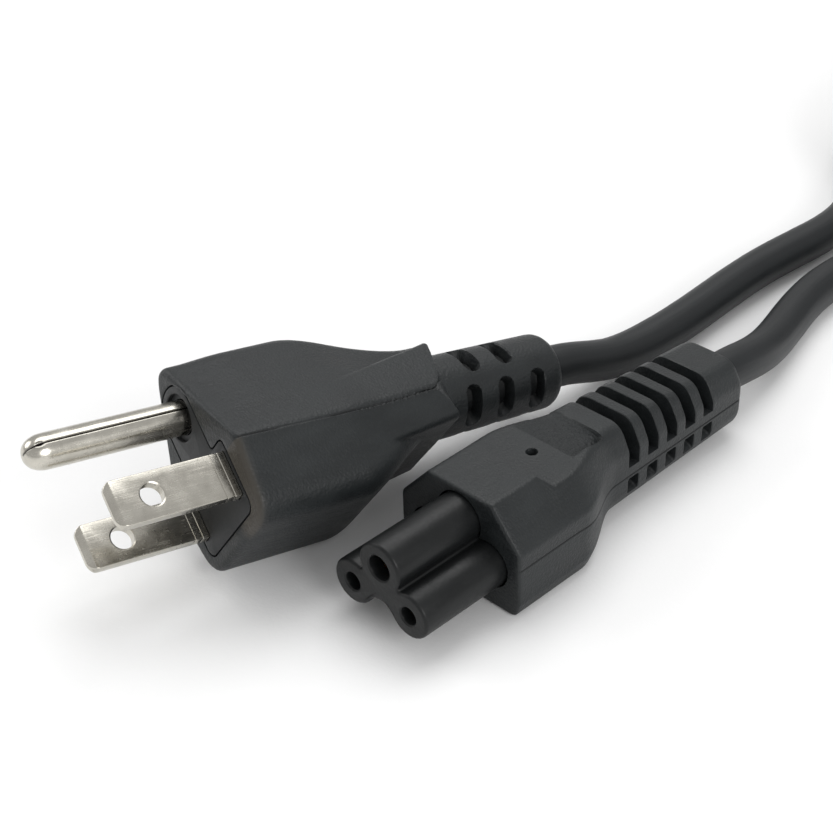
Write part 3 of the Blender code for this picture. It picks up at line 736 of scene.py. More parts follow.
@dataclass(frozen=True)
class PlatedMetal:
    """Plated metal, brushed along its own y, with duller patches and fine scratches."""

    light: Colour
    dark: Colour
    roughness: float
    brush: tuple[float, float, float] = (1.0, 0.035, 1.0)
    brush_width: float = 0.16
    patch: float = 2.4
    spot: float = 0.5
    shadow: Colour = (0.012, 0.011, 0.010)
    whole_row: bool = False

    def make(self, name: str) -> bpy.types.Material:
        """Return the material, which is metallic all over.

        Args:
            name: The material's name.

        Returns:
            A Principled material, with painted shade where a seam groove is marked.
        """
        recipe = Recipe(name, metallic=1.0)
        own = recipe.object_mm() if self.whole_row else recipe.own()
        brushed = recipe.noise(recipe.stretched(own, self.brush), self.brush_width, 3.0)
        cloud = recipe.noise(own, self.patch, 4.0)
        spots = recipe.noise(own, self.spot, 2.0).steps(0.63, 0.75)
        colour = recipe.mixed(cloud * 1.2 - 0.1, self.dark, self.light)
        colour = recipe.mixed(spots * 0.35, colour, tuple(0.55 * part for part in self.dark))
        # Painted shade: the marked seam groove is mixed towards the shadow colour.
        colour = recipe.mixed(recipe.mark(Mark.SEAM) * 0.95, colour, self.shadow)
        rough = self.roughness + (brushed - 0.5) * 0.22 + (cloud - 0.5) * 0.16 + spots * 0.12
        recipe.finish(colour, rough, brushed * 0.7 + cloud * 1.5, 0.012)
        return recipe.material


@dataclass(frozen=True)
class WovenStrap:
    """Narrow woven strap: rows of thread along and across, with loose fibres."""

    light: Colour
    dark: Colour
    thread: float = 0.55
    fibre: float = 0.12

    def make(self, name: str) -> bpy.types.Material:
        """Return the material; own x runs along the strap and own y across it.

        The weave is the product of a sine wave in each direction, half a wave to a thread.

        Args:
            name: The material's name.

        Returns:
            A Principled material.
        """
        recipe = Recipe(name)
        own = recipe.own()
        turn = math.pi / self.thread
        along = (recipe.axis(own, "X") * turn).wave()
        across = (recipe.axis(own, "Y") * turn).wave()
        weave = along * across * 0.5 + 0.5
        fuzz = recipe.noise(own, self.fibre, 3.0)
        colour = recipe.mixed(weave * 0.7 + fuzz * 0.4 - 0.05, self.dark, self.light)
        rough = 0.78 + (fuzz - 0.5) * 0.2
        recipe.finish(colour, rough, weave + fuzz * 0.4, 0.09)
        return recipe.material


@dataclass(frozen=True)
class StudioPaper:
    """Matt white paper with a barely visible tooth."""

    white: Colour
    tooth: float = 0.6
    cloud: float = 160.0
    sheen: float = 0.1

    def make(self, name: str) -> bpy.types.Material:
        """Return the material.

        Args:
            name: The material's name.

        Returns:
            A Principled material on Object coordinates.
        """
        recipe = Recipe(name, specular=self.sheen)
        place = recipe.object_mm()
        tooth = recipe.noise(place, self.tooth, 3.0)
        cloud = recipe.noise(place, self.cloud, 2.0)
        colour = recipe.mixed(cloud, tuple(0.985 * part for part in self.white), self.white)
        recipe.finish(colour, 0.9 + (tooth - 0.5) * 0.1, tooth, 0.03)
        return recipe.material


PVC = MouldedPlastic((0.0175, 0.0205, 0.0215), (0.0075, 0.0090, 0.0097), 0.46, grain_depth=0.09, marks=True)
RIGID_BLACK = MouldedPlastic((0.0095, 0.0105, 0.0108), (0.0045, 0.0050, 0.0052), 0.38, 0.4, 0.022, sheen=0.26)
CARRIER_PLASTIC = MouldedPlastic((0.018, 0.0195, 0.0205), (0.010, 0.011, 0.012), 0.5, 0.35)
JACKET = CordJacket((0.0135, 0.0155, 0.0168), (0.0060, 0.0070, 0.0080), 0.44)
NICKEL = PlatedMetal((0.66, 0.635, 0.57), (0.43, 0.41, 0.36), 0.24)
BRASS = PlatedMetal((0.72, 0.44, 0.20), (0.45, 0.25, 0.10), 0.34, whole_row=True)
STRAP = WovenStrap((0.035, 0.035, 0.037), (0.008, 0.008, 0.009))
PAPER = StudioPaper((0.90, 0.90, 0.90))


# ---------------------------------------------------------------- studio

@dataclass
class Studio:
    """Floor, soft light and the camera at the photograph's viewing angle."""

    camera_place: tuple[float, float, float] = (0.14391, -0.13993, 0.15480)
    camera_right: tuple[float, float, float] = (0.7089, 0.7050, -0.0220)
    camera_down: tuple[float, float, float] = (0.3869, -0.4147, -0.8236)
    camera_forward: tuple[float, float, float] = (-0.5898, 0.5753, -0.5667)
    lens: float = 78.33
    sensor: float = 36.0
    floor_half: float = 3.0
    sky: float = 0.59
    # Each light's name, place, the point that it faces, its width and its watts.
    lights: tuple = (
        ("top_light", (-0.25, 0.35, 0.95), (0.0, 0.02, 0.0), 0.9, 5.4),
        ("left_light", (-0.85, -0.35, 0.55), (0.0, 0.0, 0.0), 0.6, 2.6),
        ("right_light", (0.92, -0.12, 0.48), (0.0, 0.0, 0.0), 0.6, 4.2),
    )

    def make_camera(self) -> None:
        """Make the camera from its three directions and hand it to the scene."""
        data = bpy.data.cameras.new("photo_camera")
        data.lens, data.sensor_width = self.lens, self.sensor
        data.clip_start, data.clip_end = 0.01, 50.0
        camera = bpy.data.objects.new("photo_camera", data)
        columns = [self.camera_right, [-part for part in self.camera_down],
                   [-part for part in self.camera_forward]]
        turn = Matrix(columns).transposed().to_quaternion()
        camera.matrix_world = Matrix.LocRotScale(self.camera_place, turn, None)
        bpy.context.scene.collection.objects.link(camera)
        bpy.context.scene.camera = camera

    def make_floor(self) -> None:
        """Make the floor, one level sheet."""
        half = self.floor_half
        corners = [(-half, -half, 0.0), (half, -half, 0.0), (half, half, 0.0), (-half, half, 0.0)]
        mesh = bpy.data.meshes.new("studio_floor")
        mesh.from_pydata(corners, [], [(0, 1, 2, 3)])
        mesh.materials.append(PAPER.make("studio_paper"))
        floor = bpy.data.objects.new("studio_floor", mesh)
        bpy.context.scene.collection.objects.link(floor)

    def make_light(self) -> None:
        """Make the pale surroundings and the soft lights."""
        world = bpy.data.worlds.new("studio_sky")
        world.use_nodes = True
        sky = world.node_tree.nodes["Background"]
        sky.inputs["Color"].default_value = (1.0, 1.0, 1.0, 1.0)
        sky.inputs["Strength"].default_value = self.sky
        bpy.context.scene.world = world
        for name, place, aim, size, power in self.lights:
            data = bpy.data.lights.new(name, "AREA")
            data.shape, data.size, data.energy = "DISK", size, power
            lamp = bpy.data.objects.new(name, data)
            away = np.array(place) - np.array(aim)
            lamp.location = place
            across = np.cross((0.0, 0.0, 1.0), away)
            across, away = across / np.linalg.norm(across), away / np.linalg.norm(away)
            lamp.rotation_euler = Matrix([across, np.cross(away, across), away]).transposed().to_euler()
            bpy.context.scene.collection.objects.link(lamp)

    def build(self) -> None:
        """Make the whole studio."""
        self.make_camera()
        self.make_floor()
        self.make_light()
        bpy.context.scene.view_settings.view_transform = "Standard"
        LOG.info("studio: camera, floor and lights")


# ---------------------------------------------------------------- cord

@dataclass
class Cord:
    """The cord from the plug through the coil of its put-away length to the connector.

    The routes are in millimetres of the row, as in the solids' source. A share is a part
    of one turn of the coil, and a step is its start and its width in turns.
    """

    radius: float = 3.2
    length: float = 1.8
    clearance: float = 0.03
    exit: tuple[float, float, float] = (-4.22, 31.19, 7.61)
    plug_start: tuple[float, float, float] = (-4.491, 29.533, 7.877)
    plug_route: tuple[tuple[float, float, float], ...] = (
        (-4.22, 31.19, 7.61), (-3.76, 34.01, 7.16), (-2.4, 43.7, 4.3), (-1.8, 53.7, 3.4),
        (-2.0, 63.7, 3.23), (-2.6, 73.7, 3.23), (-2.9, 83.7, 3.23), (-2.4, 92.7, 3.23),
        (-1.9, 101.5, 3.23), (-2.5, 107.8, 3.23), (-4.4, 113.8, 3.23), (-10.8, 124.6, 3.23),
        (-17.1, 135.6, 3.23),
    )
    connector_route: tuple[tuple[float, float, float], ...] = (
        (14.72, 45.45, 6.72), (14.72, 47.05, 6.72), (14.72, 49.95, 6.62), (14.4, 56.5, 5.5),
        (12.9, 64.3, 3.9), (10.8, 71.9, 3.3), (8.9, 79.7, 3.23), (8.1, 88.7, 3.23),
        (8.9, 96.9, 3.23), (11.4, 104.5, 3.23), (19.9, 118.1, 3.23), (28.2, 132.2, 3.23),
    )
    coil_centre: tuple[float, float] = (6.0, 193.0)
    half_run: float = 45.5
    outer: float = 25.7
    inner: float = 19.2
    level_rise: float = 6.45
    shares: tuple[float, ...] = (0.0, 0.2817, 0.5, 0.7817, 1.0)
    turns: float = 4.7817
    turn_points: float = 60.0
    inward: tuple[float, float] = (0.52, 0.12)
    outward: tuple[float, float] = (3.0, 0.13)
    rises: tuple = ((1.38, 0.12), (2.38, 0.12))
    falls: tuple = ((3.66, 0.115), (4.66, 0.115))
    tie_y: float = 205.0
    tie_lift: float = 0.82
    tie_lift_start: float = 24.0
    tie_lift_width: float = 16.0
    spacing: float = 1.4
    columns: int = 28
    uneven: float = 0.004
    uneven_length: float = 9.0

    def coil(self) -> Array:
        """Return the coil's centre line, clockwise from the south end of its west run.

        The line runs on a slot offset from a long loop's spine: x = cx + rho cos a and
        y = cy + s + rho sin a, with a and s read from the share of the turn. The offset
        is the outer one, the inner one and the outer one again. The level rises by one
        in the second and third turns' north ends and falls again in the last two turns'
        east runs. The height is radius + level x rise, lifted where the strap passes under.

        Returns:
            Points as (count, 3), in millimetres of the row.
        """
        turns = np.arange(0.0, self.turns, 1.0 / self.turn_points)
        share = turns % 1.0
        angle = np.interp(share, self.shares, (math.pi, math.pi, 0.0, 0.0, -math.pi))
        spine = np.interp(share, self.shares, np.array((-1.0, 1.0, 1.0, -1.0, -1.0)) * self.half_run)
        inward = eased_step(turns, self.inward) - eased_step(turns, self.outward)
        offset = self.outer + (self.inner - self.outer) * inward
        level = eased_step(turns, self.rises[0]) + eased_step(turns, self.rises[1])
        level = level - eased_step(turns, self.falls[0]) - eased_step(turns, self.falls[1])
        x = self.coil_centre[0] + offset * np.cos(angle)
        y = self.coil_centre[1] + spine + offset * np.sin(angle)
        lifted = smooth((self.tie_lift_start - np.abs(y - self.tie_y)) / self.tie_lift_width)
        near_tie = np.where(share < self.shares[1], lifted, 0.0)
        height = self.radius + self.clearance + self.tie_lift * near_tie + self.level_rise * level
        return np.stack([x, y, height], axis=1)

    def centre_line(self) -> Array:
        """Join the routes and the coil by one smooth line that nowhere sinks into the floor.

        Returns:
            Evenly spaced points as (count, 3), in millimetres of the row.
        """
        route = np.vstack([self.plug_start, self.plug_route, self.coil(), self.connector_route[::-1]])
        line = spline_through(route, self.spacing)
        line[:, 2] = np.maximum(line[:, 2], self.radius + self.clearance)
        return line

    def tube(self, line: Array) -> tuple[Array, Array]:
        """Return the tube's rings and the coordinates that follow it.

        Each ring lies across the line: side = forward x up, and a point is the centre plus
        r cos a along side plus r sin a along side x forward. The kept coordinates are
        r cos a, the length so far and r sin a.

        Args:
            line: The centre line, (rings, 3).

        Returns:
            The grid (rings, columns, 3) and the kept coordinates of the same shape.
        """
        forward = unit(np.gradient(line, axis=0))
        side = unit(np.cross(forward, (0.0, 0.0, 1.0)))
        upward = np.cross(side, forward)
        angle = np.linspace(0.0, math.tau, self.columns, endpoint=False)[None, :, None]
        along = np.arange(len(line)) * self.spacing
        reach = self.radius * (1.0 + self.uneven * ragged(along / self.uneven_length, 1.3)[:, None, None])
        across = np.cos(angle) * side[:, None, :] + np.sin(angle) * upward[:, None, :]
        grid = line[:, None, :] + reach * across
        flat = np.broadcast_to(angle[..., 0], grid.shape[:2])
        own = np.stack([self.radius * np.cos(flat), np.broadcast_to(along[:, None], flat.shape),
                        self.radius * np.sin(flat)], axis=-1)
        return grid, own

    def build(self) -> tuple[bpy.types.Object, Array]:
        """Make the cord.

        Returns:
            The piece and its centre line in metres.
        """
        line = self.centre_line()
        grid, own = self.tube(line)
        piece = skinned("power_cord", grid)
        ends = np.stack([own[0].mean(0), own[-1].mean(0)])
        settle(piece, ROW, 40.0, np.vstack([own.reshape(-1, 3), ends]))
        jacket = JACKET.make("cord_jacket_finish")
        dress(piece, jacket, "cord_jacket", "plug_cord", "cord_coil", "connector_cord")
        return piece, line * MM


@dataclass
class CoilStrap:
    """The strap that holds the coil, wrapped once and lapped over itself."""

    width: float = 9.0
    thickness: float = 0.5
    lap: float = 20.0
    reach: float = 3.78
    step: float = 0.5
    start: float = 12.0
    edge_round: float = 0.22
    lap_gap: float = 0.12
    lap_rise: float = 5.0
    look_ahead: float = 0.2

    def path(self, cord: Cord) -> tuple[Array, Array]:
        """Return the strap's middle line round the turns and its outward directions.

        The line is the hull of the corner turns moved out by the reach: for each outward
        direction, the farthest corner plus the reach along it. The lapped length stands
        one thickness and a small gap farther out.

        Args:
            cord: The cord, for the turns' places.

        Returns:
            Each point's offset from the spine and height, and its outward direction, both
            (count, 2).
        """
        low = cord.radius + cord.clearance + cord.tie_lift
        corners = np.array([(cord.inner, low), (cord.outer, low), (cord.outer, low + 2.0 * cord.level_rise),
                            (cord.inner, low + cord.level_rise)])
        turn = np.linspace(0.0, math.tau, 1441)
        outward = np.stack([np.cos(turn), np.sin(turn)], axis=1)
        hull = corners[np.argmax(outward @ corners.T, axis=1)] + self.reach * outward
        walked = walked_along(hull)
        around = walked[-1]
        along = np.arange(0.0, around + self.lap, self.step)
        wrapped = (along + self.start) % around
        line = taken_at(wrapped, walked, hull)
        forward = unit(taken_at((wrapped + self.look_ahead) % around, walked, hull) - line)
        normal = np.stack([forward[:, 1], -forward[:, 0]], axis=1)
        raised = (self.thickness + self.lap_gap) * smooth((along - around + self.lap_rise) / self.lap_rise)
        return line + normal * raised[:, None], normal

    def build(self, cord: Cord) -> bpy.types.Object:
        """Make the strap: a flat section with round edges carried along its path.

        Near the free end the section is as wide as a half circle is there, which rounds it.

        Args:
            cord: The cord whose coil it holds.

        Returns:
            The piece.
        """
        line, normal = self.path(cord)
        count = len(line)
        half, thick = self.width / 2.0, self.thickness / 2.0
        section = rounded_outline(box_corners(half, 0.0, thick, self.edge_round), 4)
        from_end = (count - 1 - np.arange(count)) * self.step
        narrow = np.sqrt(1.0 - (1.0 - np.clip(from_end / half, 0.02, 1.0)) ** 2)
        across = section[None, :, 0] * narrow[:, None]
        out = np.broadcast_to(section[None, :, 1], across.shape)
        reach = line[:, None, 0] + out * normal[:, None, 0]
        height = line[:, None, 1] + out * normal[:, None, 1]
        grid = np.stack([cord.coil_centre[0] - reach, cord.tie_y - across, height], axis=-1)
        along = np.broadcast_to((np.arange(count) * self.step)[:, None], across.shape)
        own = np.stack([along, across, out], axis=-1)
        piece = skinned("coil_strap", grid)
        settle(piece, ROW, 50.0, np.vstack([own.reshape(-1, 3), own[0].mean(0), own[-1].mean(0)]))
        dress(piece, STRAP.make("strap_weave"), "tie_strap", "coil_tie")
        return piece


# ---------------------------------------------------------------- plug

@dataclass
class Plug:
    """The three-pin plug: moulding, prong carrier, two blades and the ground pin.

    Front, waist and the two of the grip block are the upper half's corners, mirrored
    below: x, height and edge radius. A row of slots has its side of the crest, its count,
    its first slot's y and its two ends' angles from the crest. A ring of the pocket has
    its y, its share of the pocket's width and what is added to it. The seam's line is
    x by y, and its clearness goes from 0 to 1 by y.
    """

    place: Place = Place((-9.04, -27.66, 13.7744),
                         (math.radians(-9.0), math.radians(33.9), math.radians(-9.2)))
    front: tuple = ((-19.1, 2.6, 2.9), (-3.0, 11.6, 2.5), (7.9, 9.5, 4.0))
    waist: tuple = ((-12.6, 4.0, 2.4), (-4.0, 8.6, 2.0), (0.6, 6.2, 2.4))
    block_start: tuple = ((-8.0, 8.4, 0.9), (-3.0, 11.3, 1.6), (3.4, 9.9, 1.0))
    block_end: tuple = ((-11.5, 7.2, 1.8), (-3.4, 10.2, 1.8), (1.2, 8.7, 1.2))
    edge_round: float = 0.9
    front_length: float = 16.5
    front_drop: float = 1.2
    front_drop_length: float = 9.0
    block_first: float = 16.8
    block_last: float = 34.5
    relief_first: float = 36.9
    relief_last: float = 58.8
    relief_round: float = 1.9
    relief_radii: tuple[float, float] = (6.0, 5.65)
    pocket_rings: tuple = ((3.3, 0.35, 0.0), (3.3, 0.7, 0.0), (3.3, 1.0, 0.0), (2.2, 1.0, 0.0),
                           (1.1, 1.0, 0.0), (0.16, 1.0, 0.0), (0.05, 1.0, 0.03), (0.0, 1.0, 0.12))
    warp_start: float = 24.0
    end_crest: float = 31.3
    end_spread: float = 1.8
    end_axis: float = -3.1
    end_limit: float = 36.3
    # From the block's end to the relief's root: shares of the way along and across.
    root_along: tuple = (0.04, 0.1, 0.2, 0.4, 0.6, 0.8, 0.92, 1.0)
    root_across: tuple = (0.015, 0.06, 0.17, 0.41, 0.65, 0.86, 0.96, 1.0)
    seam_line: tuple = ((0.0, -2.9), (5.5, -2.7), (14.8, -2.4), (20.3, -2.4), (26.5, -2.7), (31.0, -3.1))
    seam_clear: tuple = ((0.0, 1.0), (5.5, 1.0), (6.5, 0.35), (13.5, 0.35),
                         (14.5, 1.0), (18.0, 1.0), (20.0, 0.55), (37.0, 0.55))
    seam_depth: float = 0.16
    seam_lip: float = 0.03
    flash_height: float = 0.13
    cord_x: float = -5.6
    slot_floor: float = 4.0
    slot_width: float = 2.4
    slot_edge: float = 0.13
    slot_rows: tuple = ((1, 3, 41.5, 18.0, 80.0), (-1, 2, 43.0, 2.0, 62.0))
    slot_pitch: float = 5.9
    seam_gap: float = 0.2
    carrier_arm: float = 4.2
    carrier_top: float = 7.71
    carrier_right: float = 5.6
    carrier_step: float = 1.4
    prong_gap: float = 0.12
    blade_width: float = 6.35
    blade_thickness: float = 1.52
    blade_length: float = 17.3
    blade_centres: float = 12.7
    blade_root: float = 3.0
    hole_radius: float = 1.59
    hole_from_tip: float = 5.8
    pin_x: float = -11.9
    pin_radius: float = 2.375
    pin_length: float = 22.2
    pin_tip: float = 3.0
    pin_seam: float = 95.0
    pin_nick: float = -20.4
    recess_radius: float = 3.275
    recess_depth: float = 0.7

    def seam_x(self, y: Array) -> Array:
        """Return where the mould's parting line runs along the crests."""
        return np.interp(y, *np.array(self.seam_line).T)

    def inset(self, corners: Array, amount: float) -> Array:
        """Return half-outline corners moved in towards the outline's middle.

        Args:
            corners: The corners, (count, 3).
            amount: How far each moves along x and down, and twice what its radius loses.

        Returns:
            The moved corners.
        """
        middle = (corners[0, 0] + corners[-1, 0]) / 2.0
        shift = np.clip((middle - corners[:, 0]) / amount, -1.0, 1.0) * amount
        return np.stack([corners[:, 0] + shift, corners[:, 1] - amount, corners[:, 2] - amount / 2.0], axis=1)

    def carrier_outline(self, grow: float) -> Array:
        """Return the keyhole outline of the prong carrier: an arm round the pin, then the wide part.

        Args:
            grow: How far the outline is moved out.

        Returns:
            The outline as (points, 2).
        """
        arm, top, right = self.carrier_arm + grow, self.carrier_top + grow, self.carrier_right + grow
        step = -self.blade_width / 2.0 - self.carrier_step - grow
        corners = np.array([(self.pin_x - arm, arm, arm), (step, arm, max(0.8 - grow, 0.1)),
                            (step, top, 0.8 + grow), (right, top, 1.5 + grow)])
        return rounded_outline(both_halves(corners), 8)

    def front_at(self, y: Array) -> Array:
        """Return the shield's half-outline corners, its pin end a little lower towards the face.

        Args:
            y: The levels.

        Returns:
            The corners as (rows, 3, 3).
        """
        corners = np.repeat(np.array(self.front)[None], len(y), axis=0)
        corners[:, 0, 1] -= self.front_drop * smooth(1.0 - y / self.front_drop_length)
        return corners

    def body_reach(self, y: Array, angles: Array) -> Array:
        """Return the moulding's distance from its seam plane's axis, up to the block's end.

        The shield-shaped front narrows to the waist by an eased share; the grip block's
        corners move evenly; the larger of the two stands, with a fillet between.

        Args:
            y: Levels of the rows.
            angles: Directions of the columns.

        Returns:
            Distances as (rows, columns).
        """
        centre = np.stack([self.seam_x(y), np.zeros_like(y)], axis=1)
        front, waist = self.front_at(y), np.array(self.waist)
        share = smooth((y - self.front_length) / (self.block_last - self.front_length - 0.6))[:, None, None]
        shield = along_rays(rounded_outline(both_halves(front + (waist - front) * share)), centre, angles)
        start, end = np.array(self.block_start), np.array(self.block_end)
        share = ((y - self.block_first) / (self.block_last - self.block_first))[:, None, None]
        corners = both_halves(start + (end - start) * np.maximum(share, 0.0))
        block = along_rays(rounded_outline(corners), centre, angles)
        block = np.where(y[:, None] < self.block_first, 0.0, block)
        return softer_max(shield, block, 0.3)

    def relief_reach(self, y: Array, angles: Array) -> tuple[Array, Array]:
        """Return the relief's radius with its slots, and where the slots are.

        The radius changes evenly from root to tip, and a slot's mask takes it down to the
        slots' floor. Each row of slots stands on both sides, mirrored.

        Args:
            y: Levels of the rows.
            angles: Directions about the cord's axis.

        Returns:
            Radii and slot masks, both (rows, columns).
        """
        share = (y - self.relief_first) / (self.relief_last - self.relief_round - self.relief_first)
        root, tip = self.relief_radii
        outer = root + (tip - root) * np.clip(share, 0.0, 1.0)
        from_crest = half_turned(90.0 - np.degrees(angles))
        mask = np.zeros((len(y), len(angles)))
        for side, count, first, start, stop in self.slot_rows:
            for number in range(count):
                along = y[:, None] - (first + self.slot_pitch * number)
                for mirrored in (from_crest, 180.0 - from_crest):
                    away = half_turned(mirrored - side * (start + stop) / 2.0)
                    across = np.radians(away)[None, :] * root
                    half = math.radians(stop - start) / 2.0 * root
                    slot = slot_mask(across, along, half, self.slot_width / 2.0, self.slot_edge)
                    mask = np.maximum(mask, slot)
        return outer[:, None] - (outer[:, None] - self.slot_floor) * mask, mask

    def polar(self, centre_x: Array, y: Array, reach: Array, angles: Array) -> Array:
        """Return points from their distances: x = c + r cos a, z = r sin a.

        Args:
            centre_x: The rows' axis c.
            y: The rows' levels.
            reach: The distances r, (rows, columns).
            angles: The columns' directions a.

        Returns:
            Points as (rows, columns, 3).
        """
        x = centre_x[:, None] + reach * np.cos(angles)
        z = reach * np.sin(angles)
        return np.stack([x, np.broadcast_to(y[:, None], x.shape), z], axis=-1)

    def moulding_grid(self, angles: Array) -> tuple[Array, Array, Array]:
        """Return the moulding's rings from the pocket's floor to the cord's hole.

        The rings follow each other: the pocket's wall, the face between the pocket's rim
        and the edge, the edge's quarter turn, the shield and the grip block, whose end
        curves over the crests, the slope down to the relief's root, the slotted relief,
        its round end and the hole.

        Args:
            angles: Directions of the columns.

        Returns:
            The grid (rings, columns, 3), the seam marks, painted shade in the groove, the flash's dips and
            the slots' floors, and the warm marks.
        """
        seam0 = self.seam_x(np.zeros(1))
        centre0 = np.stack([seam0, np.zeros(1)], axis=1)
        pocket = along_rays(self.carrier_outline(self.seam_gap)[None], centre0, angles)
        rings = np.array(self.pocket_rings)
        parts = [self.polar(np.repeat(seam0, len(rings)), rings[:, 0], pocket * rings[:, 1:2] + rings[:, 2:3],
                            angles)]
        rim = pocket + rings[-1, 2]
        face = self.front_at(np.zeros(1))[0]
        small = both_halves(self.inset(face, self.edge_round))
        inner = along_rays(rounded_outline(small)[None], centre0, angles)
        outer = along_rays(rounded_outline(both_halves(face))[None], centre0, angles)
        face_share = np.array([0.25, 0.5, 0.75, 1.0])[:, None]
        parts.append(self.polar(np.repeat(seam0, 4), np.zeros(4),
                                rim + (inner - pocket - rings[-1, 2]) * face_share, angles))
        bend = QUARTER_TURN[:-1]
        parts.append(self.polar(np.repeat(seam0, 5), self.edge_round * (1.0 - np.cos(bend)),
                                inner + (outer - inner) * np.sin(bend)[:, None], angles))
        y = np.concatenate([np.linspace(self.edge_round, 13.0, 18), np.linspace(13.4, 16.6, 9),
                            np.linspace(self.block_first, self.block_last, 90)])
        body = self.polar(self.seam_x(y), y, self.body_reach(y, angles), angles)
        warp = smooth((y - self.warp_start) / (self.block_last - self.warp_start))[:, None]
        spread = self.end_spread * np.sqrt(np.abs(body[..., 0] - self.end_axis))
        end_y = np.minimum(self.end_crest + spread, self.end_limit)
        body[..., 1] += (end_y - self.block_last) * warp
        parts.append(body)
        root = self.polar(np.array([self.cord_x]), np.array([self.relief_first]),
                          np.full((1, len(angles)), self.relief_radii[0]), angles)
        along, across = np.array(self.root_along), np.array(self.root_across)
        shares = np.stack([across, along, across], axis=-1)[:, None, :]
        parts.append(body[-1:] + (root - body[-1:]) * shares)
        y = np.linspace(self.relief_first + 0.2, self.relief_last - self.relief_round, 104)
        radii, slots = self.relief_reach(y, angles)
        first = sum(len(part) for part in parts)
        parts.append(self.polar(np.full(len(y), self.cord_x), y, radii, angles))
        radii = self.relief_radii[1] - self.relief_round * (1.0 - np.cos(QUARTER_TURN))
        levels = self.relief_last - self.relief_round * (1.0 - np.sin(QUARTER_TURN))
        radii = np.concatenate([radii, CORD_HOLE_RADII])
        levels = np.concatenate([levels, self.relief_last + np.array(CORD_HOLE_LEVELS)])
        parts.append(self.polar(np.full(len(radii), self.cord_x), levels,
                                np.broadcast_to(radii[:, None], (len(radii), len(angles))), angles))
        grid, seam, warm = self.with_seam(np.concatenate(parts), angles)
        relief = slice(first, first + len(slots))
        # The slots' floors are marked for painted shade too.
        seam[relief] = np.maximum(seam[relief], smooth(2.0 * slots - 0.8))
        return grid, seam, warm

    def with_seam(self, grid: Array, angles: Array) -> tuple[Array, Array, Array]:
        """Add the parting line and its ragged flash, and mark them.

        The line is a bell-shaped groove along the crest with one side a little proud; the
        flash is an uneven wave under a wider bell. Neither is on the face, past the block
        or on the sides, and nothing stands proud below, where the plug lies.

        Args:
            grid: The moulding's rings.
            angles: Directions of the columns.

        Returns:
            The changed grid, the seam marks, which paint shade into the groove and the flash's dips, and the
            warm marks.
        """
        x, y, z = grid[..., 0], grid[..., 1], grid[..., 2]
        on_body = smooth(y / 0.4 - 0.2) * (1.0 - smooth((y - 36.2) / 0.8)) * (np.abs(z) > 5.0)
        away = x - np.where(y < 36.5, self.seam_x(y), -4.7)
        clear = np.interp(y, *np.array(self.seam_clear).T)
        rough = smooth((y - 17.0) / 2.0) * (1.0 - smooth((y - 37.0) / 1.0))
        wave = ragged(y + 0.15 * np.sign(away), 2.0)
        groove = clear * bell(away, 0.11)
        flash = rough * np.maximum(wave, -0.3) * bell(away - 0.12 * wave, 0.3)
        proud = self.seam_lip * smooth(0.5 + away / 0.3) * bell(away, 0.8) * clear
        lift = on_body * (-self.seam_depth * groove + self.flash_height * flash + proud)
        lift = np.where(z < 0.0, np.minimum(lift, 0.0), lift)
        grid[..., 0] += lift * np.cos(angles)
        grid[..., 2] += lift * np.sin(angles)
        # Painted shade: dark in the parting line's groove and where the flash dips.
        dark = clear * bell(away, 0.16) + rough * smooth(-2.0 * wave) * bell(away, 0.34)
        seam = np.clip(on_body * dark, 0.0, 1.0)
        warm = smooth(1.15 - y) * smooth((x + 2.9) / 0.3) * smooth((z - 2.0) / 3.0)
        return grid, seam, warm

    def build_moulding(self) -> None:
        """Make the moulded body in one closed piece."""
        angles = clustered_angles(320, ((90.0, 5.0, 3.0), (270.0, 5.0, 3.0)))
        grid, seam, warm = self.moulding_grid(angles)
        middle = self.seam_line[0][1]
        poles = (np.array([middle, grid[0, 0, 1], 0.0]), np.array([self.cord_x, grid[-1, 0, 1], 0.0]))
        piece = skinned("plug_moulding", grid, {Mark.SEAM: seam, Mark.WARM: warm}, poles)
        settle(piece, self.place, 32.0)
        dress(piece, PVC.make("plug_pvc"), "black_pvc", "plug_body")

    def build_carrier(self) -> None:
        """Make the rigid carrier with its three prong holes."""
        levels = np.array([2.7, 0.1, 0.03, 0.0])
        outlines = np.stack([self.carrier_outline(grow) for grow in (0.0, 0.0, -0.03, -0.1)])
        carrier = lofted("prong_carrier", outlines, levels, (self.seam_line[0][1], 0.0))
        rim, hole = self.recess_radius + 0.1, self.pin_radius + self.prong_gap
        seat = np.array([(rim, -0.5), (rim, 0.0), (self.recess_radius, 0.1),
                         (self.recess_radius, self.recess_depth), (hole, self.recess_depth), (hole, 4.0)])
        cutters = [turned_form("pin_seat", seat, (self.pin_x, 0.0), 64)]
        half = self.blade_width / 2.0 + self.prong_gap
        thick = self.blade_thickness / 2.0 + self.prong_gap
        for side, sign in (("lower", -1.0), ("upper", 1.0)):
            outline = rounded_outline(box_corners(half, sign * self.blade_centres / 2.0, thick, 0.3), 4)
            ends = np.array([-1.0, 4.0])
            cutters.append(lofted(f"{side}_blade_seat", np.stack([outline, outline]), ends))
        carve(carrier, cutters)
        settle(carrier, self.place, 30.0)
        dress(carrier, CARRIER_PLASTIC.make("carrier_finish"), "bridge_plastic", "blade_bridge")

